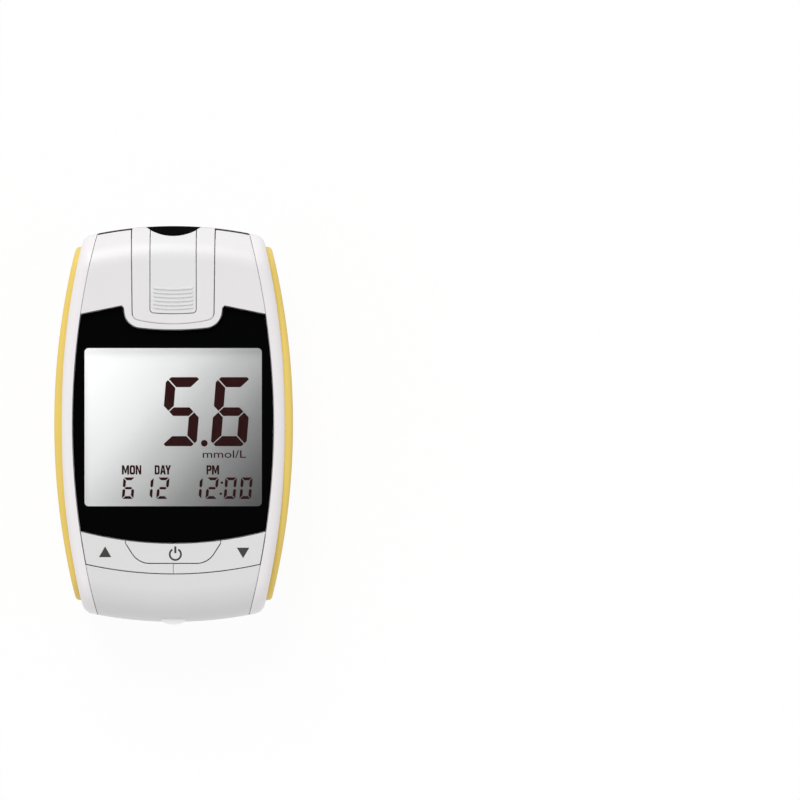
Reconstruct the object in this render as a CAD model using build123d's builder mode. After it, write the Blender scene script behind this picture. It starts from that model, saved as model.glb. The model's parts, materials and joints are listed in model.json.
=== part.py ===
from build123d import *
import math
import os

# Hand-held blood glucose meter lying on its back.
# +Z points out of the display, +Y towards the strip port, +X to the right of the display.
# The origin is on the surface that the meter lies on, below its middle.
# All lengths are millimetres and all angles are degrees.

# ---- plan of the body -------------------------------------------------------
body_length = 96.0
body_width = 54.5
side_bow = 6.2
top_arc_r = 95.0
bottom_arc_r = 100.0

# ---- stack from the back to the front; it adds up to the body's height ------
door_recess = 0.15
door_t = 1.5
cell_floor_clear = 1.25
cell_d = 10.5
cell_roof_clear = 0.3
roof_t = 1.2
under_board_clear = 1.7
board_t = 1.0
lcd_stand = 2.6
lcd_t = 2.4
lcd_gap = 0.2
deck_t = 1.2
tape_t = 0.2
mask_t = 0.2
lens_t = 1.6

# ---- skin and its roundings -------------------------------------------------
wall = 2.2
inner_edge_r = 0.8
front_roll_r = 8.5
back_roll_r = 7.0
back_soft_r = 90.0
back_soft_angle = 14.0
cut_margin = 3.2

# ---- face: the strip between the side rails ---------------------------------
rail_width = 2.9
strip_bow = 6.52
seam = 0.24
key_row_bottom = 11.7
key_row_length = 7.4
key_row_rise = 3.15
lens_bottom_rise = 3.5
horn_flare = 0.7
horn_rise = 5.9
lens_slope = 11.6
notch_side = 1.5
notch_below = 1.5
notch_rise = 0.9
notch_r = 4.2
horn_r = 0.6
tape_margin = 0.6
window_side = 2.9
window_above = 4.4
window_below = 9.0
window_r = 1.0

# ---- display and board ------------------------------------------------------
lcd_border = 0.75
lcd_lead_border = 2.3
lcd_fit = 0.1
lcd_frame_wall = 0.7
lcd_ledge = 0.8
zebra_w = 1.5
board_clear = 0.5
chip_size = 11.0
chip_t = 1.6
chip_x = -7.4
memory_width = 5.0
memory_length = 6.0
memory_t = 1.5
memory_x = 11.1
crystal_r = 1.2
crystal_length = 7.0
capacitor_size = 1.6
capacitor_count = 5
buzzer_r = 4.5
buzzer_t = 1.6
buzzer_y = 5.0
sound_hole_r = 0.6
sound_hole_pitch = 2.2

# ---- keys -------------------------------------------------------------------
key_travel = 0.4
key_under_clear = 0.15
key_gap = 0.05
power_key_top_half = 11.5
power_key_bottom_half = 8.4
power_key_length = 4.85
power_key_r = 5.0
plunger_r = 1.6
plunger_fit = 0.15
plunger_flange_w = 0.7
plunger_flange_t = 0.8
side_plunger_x = 16.5
plunger_from_row = 4.6
switch_size = 4.5
switch_base_t = 1.2
switch_button_r = 1.1
switch_button_t = 0.4

# ---- strip port and ejector -------------------------------------------------
surround_side = 4.2
surround_below = 2.3
surround_flare = 0.3
surround_rise = 1.3
surround_r = 1.8
slider_half = 5.7
slider_bottom = 21.45
slider_rise = 0.3
slider_r = 1.0
slider_t = 1.7
slider_gap = 0.2
ejector_travel = 4.0
scoop_r = 11.2
scoop_depth = 2.3
rib_count = 6
rib_pitch = 0.95
rib_w = 0.45
rib_h = 0.3
rib_margin = 1.4
rib_inset = 1.1
rib_rise = 0.3
bezel_drop = 5.9
jaw_gap = 0.15
strip_level = 0.6
channel_width = 8.0
channel_height = 0.8
connector_width = 15.0
connector_length = 11.0
connector_t = 3.0
connector_from_end = 5.5
contact_w = 0.6
contact_t = 0.25
contact_x = (1.9, 3.3)
contact_tail = 1.3
stem_half = 2.6
stem_length = 3.2
stem_from_end = 11.6
pusher_t = 1.6
pusher_half = 7.0
pusher_back = 23.5
pusher_bar = 5.5
pusher_clear = 0.2
leg_half = 1.5
leg_length = 2.0
leg_clear = 0.5
prong_half = 0.9
prong_t = 0.6
prong_length = 5.5
spring_x = 5.2
spring_r = 0.7
spring_wire_r = 0.15
spring_turns = 6
stop_t = 1.0
stop_width = 2.0

# ---- data jack --------------------------------------------------------------
jack_bore_r = 1.3
jack_bore_length = 9.0
jack_width = 6.2
jack_height = 5.2
jack_switch_gap = 0.25
panel_under_jack = 0.9
jack_collar_r = 2.4
jack_collar_recess = 0.4
jack_fit = 0.2
hood_width = 5.9
hood_r = 6.0
hood_t = 1.1
hood_web = 0.2
hood_reach = 0.6

# ---- batteries and their door -----------------------------------------------
cell_length = 44.5
cell_nub_r = 1.9
cell_nub_length = 0.8
cell_gap = 0.8
cell_side_clear = 0.4
coil_length = 4.7
compartment_from_jack = 5.3
compartment_wall = 1.5
plate_t = 0.4
plate_width = 8.0
plate_height = 7.0
plate_bump_r = 2.2
plate_bump_h = 1.0
tab_width = 2.0
tab_fit = 0.15
coil_r = 2.6
coil_wire_r = 0.3
coil_turns = 3
door_fit = 0.15
door_seat = 1.1
door_corner_r = 1.5
hook_x = 9.9
hook_width = 2.2
hook_t = 1.0
hook_reach = 1.4
hook_root = 2.4
hook_clear = 0.15
hook_swing_clear = 0.75
latch_half = 5.0
latch_length = 7.0
latch_slot_w = 0.7
nail_notch_r = 5.0
nail_notch_depth = 0.7

# ---- side grips -------------------------------------------------------------
grip_proud = 1.6
grip_bow = 6.52
grip_seat = 1.0
grip_top_y = 43.0
grip_bottom_y = -42.8
grip_upper_end = 6.4
grip_upper_mid = 2.0
grip_lower_end = 5.9
grip_lower_mid = 2.3
grip_upper_r = 7.0
grip_lower_r = 6.0
grip_rim = 3.0
grip_dish = 0.9
grip_round = 1.1
grip_fit = 0.05

# ---- screws -----------------------------------------------------------------
screw_inset = 6.0
screw_top = 11.2
screw_bottom = 9.7
screw_r = 0.9
screw_head_r = 1.9
screw_head_t = 1.4
screw_seat = 7.0
screw_grip_end = 2.5
screw_slot_w = 0.5
screw_slot_depth = 0.7
screw_slot_half = 1.2
screw_head_clear = 0.2
screw_hole_clear = 0.2
screw_thread_fit = 0.05
boss_r = 3.0
boss_foot = 3.0
spigot_r = 2.1
spigot_length = 1.1
spigot_fit = 0.1

# ---- sizes that follow from those above -------------------------------------
half_length = body_length / 2
half_width = body_width / 2
strip_half = half_width - rail_width
grip_half = half_width + grip_proud
reach = half_length + cut_margin
side_arc_r = (half_length**2 + side_bow**2) / (2 * side_bow)
strip_arc_r = (half_length**2 + strip_bow**2) / (2 * strip_bow)
grip_arc_r = (half_length**2 + grip_bow**2) / (2 * grip_bow)
far = 2 * body_length
cell_r = cell_d / 2
door_inner_z = door_recess + door_t
cell_z = door_inner_z + cell_floor_clear + cell_r
roof_z = cell_z + cell_r + cell_roof_clear
board_z = roof_z + roof_t + under_board_clear
board_top_z = board_z + board_t
lcd_z = board_top_z + lcd_stand
deck_z = lcd_z + lcd_t + lcd_gap
face_z = deck_z + deck_t
face_t = tape_t + mask_t + lens_t
body_height = face_z + face_t
front_stack = deck_t + face_t
side_edge_r = wall + inner_edge_r
key_t = face_t - key_travel - key_under_clear

key_row_bottom_y = key_row_bottom - half_length
lens_bottom_y = key_row_bottom_y + key_row_length
slider_y = half_length - slider_bottom
surround_y = slider_y - surround_below
surround_bottom_half = slider_half + surround_side
surround_top_half = surround_bottom_half + surround_flare
notch_y = surround_y - notch_below
notch_half = surround_bottom_half + notch_side
horn_y = notch_y + horn_rise
horn_x = notch_half + horn_flare
rib_half = slider_half - rib_inset
window_low_y = lens_bottom_y + window_below
window_length = notch_y - window_above - window_low_y
window_width = 2 * (strip_half - window_side)
window_y = window_low_y + window_length / 2
lcd_low_y = window_low_y - lcd_lead_border
lcd_high_y = window_low_y + window_length + lcd_border
lcd_half = window_width / 2 + lcd_border
plunger_y = key_row_bottom_y + plunger_from_row
switch_top_z = board_top_z + switch_base_t + switch_button_t
strip_z = board_top_z + strip_level
bezel_top_z = body_height - bezel_drop
stem_front_y = half_length - stem_from_end
stem_back_y = stem_front_y - stem_length
pusher_z = deck_z - pusher_clear - pusher_t
pusher_back_y = half_length - pusher_back
pusher_front_y = pusher_back_y + pusher_bar
stop_y = stem_front_y + stop_t / 2
jack_z = (board_z + board_top_z) / 2
jack_face_y = -half_length + jack_collar_recess
jack_back_y = plunger_y - switch_size / 2 - jack_switch_gap
parting_height = jack_z - jack_collar_r - jack_fit - panel_under_jack
cell_x = cell_r + cell_gap / 2
compartment_half = cell_x + cell_r + cell_side_clear
compartment_low_y = jack_back_y + compartment_from_jack
compartment_length = 2 * plate_t + coil_length + cell_length + plate_bump_h
compartment_high_y = compartment_low_y + compartment_length
compartment_y = (compartment_low_y + compartment_high_y) / 2
door_low_y = compartment_low_y - door_seat
door_high_y = compartment_high_y + door_seat
door_half = compartment_half + door_seat
hook_z = wall + hook_clear
screw_points = [
    (sign * (half_width - side_arc_r + math.sqrt(side_arc_r**2 - y**2) - screw_inset), y)
    for sign in (-1, 1)
    for y in (half_length - screw_top, screw_bottom - half_length)
]
buzzer_x = (compartment_half + compartment_wall + half_width - wall) / 2


def across(y):
    """Plane at this Y whose local axes are +X and +Z; extruding by a minus amount goes to +Y."""
    return Plane.XZ.offset(-y)


def level(z):
    """Horizontal plane at this height."""
    return Plane.XY.offset(z)


def block(low, high, mode=Mode.ADD):
    """Box between two opposite corners, put into the part that is being built."""
    sizes = [b - a for a, b in zip(low, high)]
    with Locations(low):
        Box(*sizes, align=(Align.MIN, Align.MIN, Align.MIN), mode=mode)


def waist(half, radius):
    """Region between two bowed sides that are widest, 2 * half, at mid length."""
    narrow = half - radius + math.sqrt(radius**2 - reach**2)
    with BuildSketch() as region:
        with BuildLine():
            right = ThreePointArc((narrow, -reach), (half, 0), (narrow, reach))
            left = ThreePointArc((-narrow, reach), (-half, 0), (-narrow, -reach))
            Line(right @ 1, left @ 0)
            Line(left @ 1, right @ 0)
        make_face()
    return region.sketch


def end_solid(arc_r, skin):
    """Solid of revolution that bounds one end of the body, its skin moved inwards."""
    centre_y = half_length - arc_r
    soft = math.radians(back_soft_angle)
    flat_y = half_length - back_roll_r * (1 - math.sin(soft)) - back_soft_r * math.sin(soft)
    with BuildPart() as end:
        with BuildSketch(Plane.YZ):
            with BuildLine():
                back = Line((centre_y, skin), (flat_y, skin))
                rise = JernArc(back @ 1, (1, 0), back_soft_r - skin, back_soft_angle)
                under = JernArc(rise @ 1, rise % 1, back_roll_r - skin, 90 - back_soft_angle)
                nose = Line(under @ 1, (half_length - skin, body_height - front_roll_r))
                roll = JernArc(nose @ 1, (0, 1), front_roll_r - skin, 90)
                front = Line(roll @ 1, (centre_y, body_height - skin))
                Line(front @ 1, back @ 0)
            make_face()
        revolve(axis=Axis((0, centre_y, 0), (0, 0, 1)))
    return end.part


def body_solid(skin, side, edge_r):
    """The body's outer form with its skin and its sides moved inwards."""
    top = end_solid(top_arc_r, skin)
    bottom = mirror(end_solid(bottom_arc_r, skin), about=Plane.XZ)
    with BuildPart() as form:
        with BuildSketch():
            add(waist(half_width - side, side_arc_r - side))
        extrude(amount=body_height)
        add(top, mode=Mode.INTERSECT)
        add(bottom, mode=Mode.INTERSECT)
        sides = form.faces().sort_by(Axis.X)
        fillet(sides[0].edges() + sides[-1].edges(), edge_r)
    return form.part


outer_form = body_solid(0, 0, side_edge_r)
under_face = body_solid(face_t, 0, side_edge_r)
front_cavity = body_solid(front_stack, wall, inner_edge_r)
rear_cavity = body_solid(wall, wall, inner_edge_r)
under_slider = body_solid(slider_t, 0, side_edge_r)
door_form = body_solid(door_recess, 0, side_edge_r)
board_form = body_solid(front_stack + board_clear, wall + board_clear, board_clear)

# ---- regions of the face, seen from the front -------------------------------
strip = waist(strip_half, strip_arc_r)

with BuildSketch() as above_lens:
    with BuildLine():
        left_end = (-reach, horn_y - (reach - horn_x) * math.tan(math.radians(lens_slope)))
        right_end = (reach, left_end[1])
        left_slope = Line(left_end, (-horn_x, horn_y))
        left_wall = Line(left_slope @ 1, (-notch_half, notch_y + notch_rise))
        dip = ThreePointArc(left_wall @ 1, (0, notch_y), (notch_half, notch_y + notch_rise))
        right_wall = Line(dip @ 1, (horn_x, horn_y))
        right_slope = Line(right_wall @ 1, right_end)
        Polyline(right_end, (reach, reach), (-reach, reach), left_end)
    make_face()
    corners = above_lens.vertices().sort_by(Axis.Y)
    fillet(corners.filter_by(lambda v: abs(abs(v.X) - notch_half) < seam), notch_r)
    horns = above_lens.vertices().filter_by(lambda v: abs(v.Y - horn_y) < seam)
    fillet(horns, horn_r)


def below_arc(edge_y, rise):
    """Region below an arc whose ends, at the strip's sides, stand higher by the rise."""
    with BuildSketch() as region:
        with BuildLine():
            arc = ThreePointArc((-strip_half, edge_y + rise), (0, edge_y), (strip_half, edge_y + rise))
            right = Line(arc @ 1, arc @ 1 + (arc % 1) * strip_half)
            left = Line(arc @ 0, arc @ 0 - (arc % 0) * strip_half)
            Polyline(right @ 1, ((right @ 1).X, -far), ((left @ 1).X, -far), left @ 1)
        make_face()
    return region.sketch


below_lens = below_arc(lens_bottom_y, lens_bottom_rise)
below_keys = below_arc(key_row_bottom_y, key_row_rise)

with BuildSketch() as power_key_outline:
    with BuildLine():
        power_low_y = lens_bottom_y - power_key_length
        Polyline(
            (-power_key_top_half, lens_bottom_y + lens_bottom_rise),
            (-power_key_top_half, lens_bottom_y),
            (-power_key_bottom_half, power_low_y),
            (power_key_bottom_half, power_low_y),
            (power_key_top_half, lens_bottom_y),
            (power_key_top_half, lens_bottom_y + lens_bottom_rise),
            close=True,
        )
    make_face()
    fillet(power_key_outline.vertices().group_by(Axis.Y)[0], power_key_r)

with BuildSketch() as surround_outline:
    with BuildLine():
        left_side = Line((-surround_top_half, reach), (-surround_bottom_half, surround_y + surround_rise))
        right_foot = (surround_bottom_half, surround_y + surround_rise)
        foot = ThreePointArc(left_side @ 1, (0, surround_y), right_foot)
        right_side = Line(foot @ 1, (surround_top_half, reach))
        Line(right_side @ 1, left_side @ 0)
    make_face()
    fillet(surround_outline.vertices().group_by(Axis.Y)[0], surround_r)

with BuildSketch() as slider_outline:
    with BuildLine():
        slider_side = Line((-slider_half, reach), (-slider_half, slider_y + slider_rise))
        slider_foot = ThreePointArc(slider_side @ 1, (0, slider_y), (slider_half, slider_y + slider_rise))
        other_side = Line(slider_foot @ 1, (slider_half, reach))
        Line(other_side @ 1, slider_side @ 0)
    make_face()
    fillet(slider_outline.vertices().group_by(Axis.Y)[0], slider_r)

with BuildSketch() as scoop:
    with Locations((0, half_length - scoop_depth + scoop_r)):
        Circle(scoop_r)

with BuildSketch() as lens_outline:
    add(strip)
    add(above_lens.sketch, mode=Mode.SUBTRACT)
    add(below_lens, mode=Mode.SUBTRACT)
    offset(amount=-seam / 2)

with BuildSketch() as top_panel_outline:
    add(strip)
    add(above_lens.sketch, mode=Mode.INTERSECT)
    add(surround_outline.sketch, mode=Mode.SUBTRACT)
    offset(amount=-seam / 2)

with BuildSketch() as key_row:
    add(strip)
    add(below_lens, mode=Mode.INTERSECT)
    add(below_keys, mode=Mode.SUBTRACT)

with BuildSketch() as power_cap:
    add(key_row.sketch)
    add(power_key_outline.sketch, mode=Mode.INTERSECT)
    offset(amount=-seam / 2)

with BuildSketch() as up_cap:
    add(key_row.sketch)
    add(power_key_outline.sketch, mode=Mode.SUBTRACT)
    with Locations((half_length, 0)):
        Rectangle(body_length, body_length, mode=Mode.SUBTRACT)
    offset(amount=-seam / 2)

with BuildSketch() as bottom_panel_outline:
    add(strip)
    add(below_keys, mode=Mode.INTERSECT)
    offset(amount=-seam / 2)

with BuildSketch() as window:
    with Locations((0, window_y)):
        RectangleRounded(window_width, window_length, window_r)

with BuildPart() as face_pocket:
    with BuildSketch(level(parting_height)):
        add(strip)
        offset(amount=seam / 2)
    extrude(amount=body_height)
    add(under_face, mode=Mode.SUBTRACT)


def face_piece(outline, low_z, skin):
    """Moulded face plate: the outline cut out of the body's outer skin."""
    with BuildPart() as piece:
        with BuildSketch(level(low_z)):
            add(outline)
        extrude(amount=body_height)
        add(outer_form, mode=Mode.INTERSECT)
        add(skin, mode=Mode.SUBTRACT)
    return piece


# ---- side grips -------------------------------------------------------------
with BuildSketch() as grip_outline:
    with BuildLine():
        high_end = body_height - grip_upper_end
        high_mid = body_height - grip_upper_mid
        mid_y = (grip_top_y + grip_bottom_y) / 2
        upper = ThreePointArc((grip_bottom_y, high_end), (mid_y, high_mid), (grip_top_y, high_end))
        low_end = (grip_top_y, grip_lower_end)
        lower = ThreePointArc(low_end, (mid_y, grip_lower_mid), (grip_bottom_y, grip_lower_end))
        Line(upper @ 1, lower @ 0)
        Line(lower @ 1, upper @ 0)
    make_face()
    fillet(grip_outline.vertices().group_by(Axis.Y)[-1], grip_upper_r)
    fillet(grip_outline.vertices().group_by(Axis.Y)[0], grip_lower_r)

with BuildPart() as grip_recess:
    with BuildSketch(Plane.YZ):
        add(grip_outline.sketch)
        offset(amount=grip_fit)
    extrude(amount=body_width, both=True)
    with BuildSketch():
        add(waist(half_width - grip_seat, side_arc_r - grip_seat))
    extrude(amount=body_height, mode=Mode.SUBTRACT)

with BuildPart() as grip_dish_cut:
    with BuildSketch(Plane.YZ):
        add(grip_outline.sketch)
        offset(amount=-grip_rim)
    extrude(amount=body_width)
    with BuildSketch():
        add(waist(grip_half - grip_dish, grip_arc_r - grip_dish))
    extrude(amount=body_height, mode=Mode.SUBTRACT)

with BuildPart() as right_side_grip:
    with BuildSketch(Plane.YZ):
        add(grip_outline.sketch)
    extrude(amount=body_width)
    with BuildSketch():
        add(waist(grip_half, grip_arc_r))
        add(waist(half_width - grip_seat + grip_fit, side_arc_r - grip_seat), mode=Mode.SUBTRACT)
    extrude(amount=body_height, mode=Mode.INTERSECT)
    fillet(right_side_grip.faces().sort_by(Axis.X)[-1].edges(), grip_round)
    add(grip_dish_cut.part, mode=Mode.SUBTRACT)

with BuildPart() as left_side_grip:
    mirror(right_side_grip.part, about=Plane.YZ)

# ---- front housing: rails, end walls, deck, bosses --------------------------
plunger_points = [(-side_plunger_x, plunger_y), (0, plunger_y), (side_plunger_x, plunger_y)]

with BuildPart() as front_housing:
    add(outer_form)
    add(front_cavity, mode=Mode.SUBTRACT)
    split(bisect_by=level(parting_height), keep=Keep.TOP)
    with BuildSketch(level(board_top_z)):
        with Locations(*screw_points):
            Circle(boss_r)
    extrude(amount=face_z - board_top_z)
    with BuildSketch(level(board_z - spigot_length)):
        with Locations(*screw_points):
            Circle(spigot_r)
    extrude(amount=board_t + spigot_length)
    for sign in (-1, 1):
        stop_x = sign * spring_x - stop_width / 2
        block((stop_x, stop_y, pusher_z), (stop_x + stop_width, stop_y + stop_t, face_z))
    add(face_pocket.part, mode=Mode.SUBTRACT)
    with BuildSketch(level(board_z - spigot_length)):
        with Locations(*screw_points):
            Circle(screw_r + screw_thread_fit)
    extrude(amount=deck_z - screw_grip_end - board_z + spigot_length, mode=Mode.SUBTRACT)
    with BuildSketch(level(deck_z)):
        with Locations((0, window_y)):
            RectangleRounded(window_width + lcd_border, window_length + lcd_border, window_r)
        with Locations(*plunger_points):
            Circle(plunger_r + plunger_fit)
    extrude(amount=front_stack, mode=Mode.SUBTRACT)
    slot_x = stem_half + slider_gap
    slot_high_y = stem_front_y + ejector_travel + slider_gap
    slot_low = (-slot_x, stem_back_y - slider_gap, pusher_z)
    block(slot_low, (slot_x, slot_high_y, body_height), Mode.SUBTRACT)
    with BuildSketch(level(parting_height)):
        add(strip)
        offset(amount=seam / 2)
        with Locations((0, reach)):
            Rectangle(far, reach, mode=Mode.INTERSECT)
    extrude(amount=bezel_top_z - parting_height, mode=Mode.SUBTRACT)
    opening_x = jack_width / 2 + jack_fit
    opening_low = (-opening_x, -reach, jack_z - jack_height / 2 - jack_fit)
    opening_high = (opening_x, front_stack - half_length + wall, jack_z + jack_height / 2 + jack_fit)
    block(opening_low, opening_high, Mode.SUBTRACT)
    add(grip_recess.part, mode=Mode.SUBTRACT)

# ---- rear housing: belly, battery compartment, bosses -----------------------
with BuildPart() as screw_cuts:
    with BuildSketch():
        with Locations(*screw_points):
            Circle(screw_head_r + screw_head_clear)
    extrude(amount=screw_seat)
    with BuildSketch():
        with Locations(*screw_points):
            Circle(screw_r + screw_hole_clear)
    extrude(amount=board_z)
    with BuildSketch(level(board_z)):
        with Locations(*screw_points):
            Circle(spigot_r + spigot_fit)
    extrude(amount=-spigot_length - spigot_fit)

with BuildPart() as rear_housing:
    add(outer_form)
    add(rear_cavity, mode=Mode.SUBTRACT)
    split(bisect_by=level(parting_height), keep=Keep.BOTTOM)
    with BuildSketch(level(wall / 2)):
        with Locations((0, compartment_y)):
            wide = 2 * (compartment_half + compartment_wall)
            Rectangle(wide, compartment_length + 2 * compartment_wall)
    extrude(amount=roof_z + roof_t - wall / 2)
    with BuildSketch(level(boss_foot)):
        with Locations(*screw_points):
            Circle(boss_r)
    extrude(amount=board_z - boss_foot)
    add(screw_cuts.part, mode=Mode.SUBTRACT)
    with BuildSketch():
        with Locations((0, compartment_y)):
            Rectangle(2 * compartment_half, compartment_length)
    extrude(amount=roof_z, mode=Mode.SUBTRACT)
    with BuildSketch():
        with Locations((0, compartment_y)):
            door_length = door_high_y - door_low_y
            Rectangle(2 * (door_half + door_fit), door_length + 2 * door_fit)
    extrude(amount=door_inner_z, mode=Mode.SUBTRACT)
    for sign in (-1, 1):
        slot_x = sign * hook_x - hook_width / 2 - door_fit
        slot_top = hook_z + hook_t + hook_swing_clear
        slot_side = slot_x + hook_width + 2 * door_fit
        inner_y = compartment_high_y - hook_clear
        block((slot_x, inner_y, 0), (slot_side, door_high_y + door_fit, slot_top), Mode.SUBTRACT)
        outer_y = door_high_y + hook_reach + hook_swing_clear
        block((slot_x, inner_y, wall), (slot_side, outer_y, slot_top), Mode.SUBTRACT)
        tab_low = (sign * cell_x - tab_width / 2 - tab_fit, compartment_low_y, cell_z)
        tab_high = (sign * cell_x + tab_width / 2 + tab_fit, compartment_low_y + plate_t + tab_fit, board_z)
        block(tab_low, tab_high, Mode.SUBTRACT)
    with BuildSketch():
        with Locations((buzzer_x, buzzer_y)):
            with GridLocations(sound_hole_pitch, sound_hole_pitch, 2, 2):
                Circle(sound_hole_r)
    extrude(amount=roof_z, mode=Mode.SUBTRACT)
    with BuildSketch(Plane.YZ):
        with Locations((door_low_y, nail_notch_depth - nail_notch_r)):
            Circle(nail_notch_r)
    extrude(amount=latch_half, both=True, mode=Mode.SUBTRACT)
    add(grip_recess.part, mode=Mode.SUBTRACT)

# ---- battery door -----------------------------------------------------------
with BuildPart() as battery_door:
    with BuildSketch():
        with Locations((0, compartment_y)):
            RectangleRounded(2 * door_half, door_length, door_corner_r)
    extrude(amount=door_inner_z)
    add(door_form, mode=Mode.INTERSECT)
    for sign in (-1, 1):
        hook_side = sign * hook_x - hook_width / 2
        root_y = compartment_high_y - hook_root
        root_top = (hook_side + hook_width, compartment_high_y - hook_clear, hook_z + hook_t)
        block((hook_side, root_y, door_inner_z - door_t / 2), root_top)
        block((hook_side, root_y, hook_z), (root_top[0], door_high_y + hook_reach, root_top[2]))
        with BuildSketch():
            with Locations((sign * latch_half, door_low_y + latch_length / 2)):
                Rectangle(latch_slot_w, latch_length)
        extrude(amount=door_inner_z, mode=Mode.SUBTRACT)
    with BuildSketch(Plane.YZ):
        with Locations((door_low_y, nail_notch_depth - nail_notch_r)):
            Circle(nail_notch_r)
    extrude(amount=latch_half - latch_slot_w / 2, both=True, mode=Mode.SUBTRACT)

# ---- plates of the face -----------------------------------------------------
top_panel = face_piece(top_panel_outline.sketch, bezel_top_z, under_face)
bottom_plate = face_piece(bottom_panel_outline.sketch, parting_height, under_face)

with BuildPart() as ejector_surround:
    with BuildSketch(level(strip_z + jaw_gap)):
        add(surround_outline.sketch)
        add(scoop.sketch, mode=Mode.SUBTRACT)
        offset(amount=-seam / 2)
        add(slider_outline.sketch, mode=Mode.SUBTRACT)
    extrude(amount=body_height)
    add(outer_form, mode=Mode.INTERSECT)
    add(under_face, mode=Mode.SUBTRACT)

with BuildPart() as bottom_panel:
    add(bottom_plate.part)
    with BuildSketch(level(jack_z + jack_collar_r + jack_fit + hood_web)):
        with Locations((0, hood_r - half_length - hood_reach)):
            Circle(hood_r)
        with Locations((0, -half_length)):
            Rectangle(hood_width, 2 * face_t, mode=Mode.INTERSECT)
    extrude(amount=hood_t)
    with BuildSketch(across(-reach)):
        with Locations((0, jack_z)):
            Circle(jack_collar_r + jack_fit)
    extrude(amount=-half_length, mode=Mode.SUBTRACT)

with BuildPart() as strip_port_bezel:
    with BuildSketch(level(parting_height)):
        add(strip)
        offset(amount=-seam / 2)
        with Locations((0, reach)):
            Rectangle(far, reach, mode=Mode.INTERSECT)
    extrude(amount=bezel_top_z - parting_height)
    add(outer_form, mode=Mode.INTERSECT)
    add(front_cavity, mode=Mode.SUBTRACT)
    jaw_low = (-surround_top_half - seam, 0, strip_z)
    block(jaw_low, (surround_top_half + seam, reach, body_height), Mode.SUBTRACT)

# ---- lens -------------------------------------------------------------------
with BuildPart() as display_lens:
    with BuildSketch(level(body_height - lens_t)):
        add(lens_outline.sketch)
    extrude(amount=lens_t)

with BuildPart() as lens_mask:
    with BuildSketch(level(body_height - lens_t - mask_t)):
        add(lens_outline.sketch)
        add(window.sketch, mode=Mode.SUBTRACT)
    extrude(amount=mask_t)

with BuildPart() as lens_tape:
    with BuildSketch(level(face_z)):
        add(lens_outline.sketch)
        offset(amount=-tape_margin)
        with Locations((0, window_y)):
            Rectangle(window_width + lcd_border, window_length + lcd_border, mode=Mode.SUBTRACT)
    extrude(amount=face_t - lens_t - mask_t)


# ---- keys and their switches ------------------------------------------------
def key(cap, plunger_x):
    """Key cap with its plunger and the flange that holds it under the deck."""
    flange_z = deck_z - key_gap - plunger_flange_t
    tip_z = switch_top_z + key_travel + key_gap
    with BuildPart() as cap_and_plunger:
        with BuildSketch(level(body_height - key_t)):
            add(cap)
        extrude(amount=key_t)
        with BuildSketch(level(tip_z)):
            with Locations((plunger_x, plunger_y)):
                Circle(plunger_r)
        extrude(amount=body_height - key_t - tip_z)
        with BuildSketch(level(flange_z)):
            with Locations((plunger_x, plunger_y)):
                Circle(plunger_r + plunger_flange_w)
        extrude(amount=plunger_flange_t)
    return cap_and_plunger


key_up = key(up_cap.sketch, -side_plunger_x)
key_power = key(power_cap.sketch, 0)

with BuildPart() as key_down:
    mirror(key_up.part, about=Plane.YZ)

with BuildPart() as key_switches:
    with BuildSketch(level(board_top_z)):
        with Locations(*plunger_points):
            Rectangle(switch_size, switch_size)
    extrude(amount=switch_base_t)
    with BuildSketch(level(board_top_z + switch_base_t)):
        with Locations(*plunger_points):
            Circle(switch_button_r)
    extrude(amount=switch_button_t)

# ---- display module ---------------------------------------------------------
with BuildPart() as lcd_panel:
    block((-lcd_half, lcd_low_y, lcd_z), (lcd_half, lcd_high_y, lcd_z + lcd_t))

with BuildPart() as lcd_frame:
    rim = lcd_fit + lcd_frame_wall
    frame_low = (-lcd_half - rim, lcd_low_y - rim, board_top_z)
    block(frame_low, (lcd_half + rim, lcd_high_y + rim, lcd_z + lcd_t))
    pocket_low = (-lcd_half - lcd_fit, lcd_low_y - lcd_fit, lcd_z)
    block(pocket_low, (lcd_half + lcd_fit, lcd_high_y + lcd_fit, lcd_z + lcd_t), Mode.SUBTRACT)
    inner_low = (lcd_ledge - lcd_half, lcd_low_y + lcd_ledge, board_top_z)
    block(inner_low, (lcd_half - lcd_ledge, lcd_high_y - lcd_ledge, lcd_z), Mode.SUBTRACT)

with BuildPart() as zebra_strips:
    zebra_half = lcd_half - lcd_ledge - lcd_fit
    for low_y in (lcd_low_y + lcd_ledge + lcd_fit, lcd_high_y - lcd_ledge - lcd_fit - zebra_w):
        block((-zebra_half, low_y, board_top_z), (zebra_half, low_y + zebra_w, lcd_z))

# ---- board and what is soldered to it ---------------------------------------
with BuildPart() as main_pcb:
    with BuildSketch(level(board_z)):
        Rectangle(body_width, body_length)
        with Locations(*screw_points):
            Circle(spigot_r + spigot_fit, mode=Mode.SUBTRACT)
    extrude(amount=board_t)
    add(board_form, mode=Mode.INTERSECT)
    notch_x = jack_width / 2 + jack_fit
    block((-notch_x, -reach, board_z), (notch_x, jack_back_y + jack_fit, board_top_z), Mode.SUBTRACT)

with BuildPart() as circuit_chips:
    with BuildSketch(level(board_top_z)):
        with Locations((chip_x, window_y)):
            Rectangle(chip_size, chip_size)
    extrude(amount=chip_t)
    with BuildSketch(level(board_top_z)):
        with Locations((memory_x, window_y + chip_size / 2)):
            Rectangle(memory_width, memory_length)
    extrude(amount=memory_t)
    with BuildSketch(level(board_top_z)):
        with Locations((0, window_y - chip_size)):
            with GridLocations(2 * capacitor_size, 0, capacitor_count, 1):
                Rectangle(capacitor_size, capacitor_size)
    extrude(amount=capacitor_size)

with BuildPart() as quartz_crystal:
    with BuildSketch(across(window_y - crystal_length)):
        with Locations((memory_x, board_top_z + crystal_r)):
            Circle(crystal_r)
    extrude(amount=-crystal_length)

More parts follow.
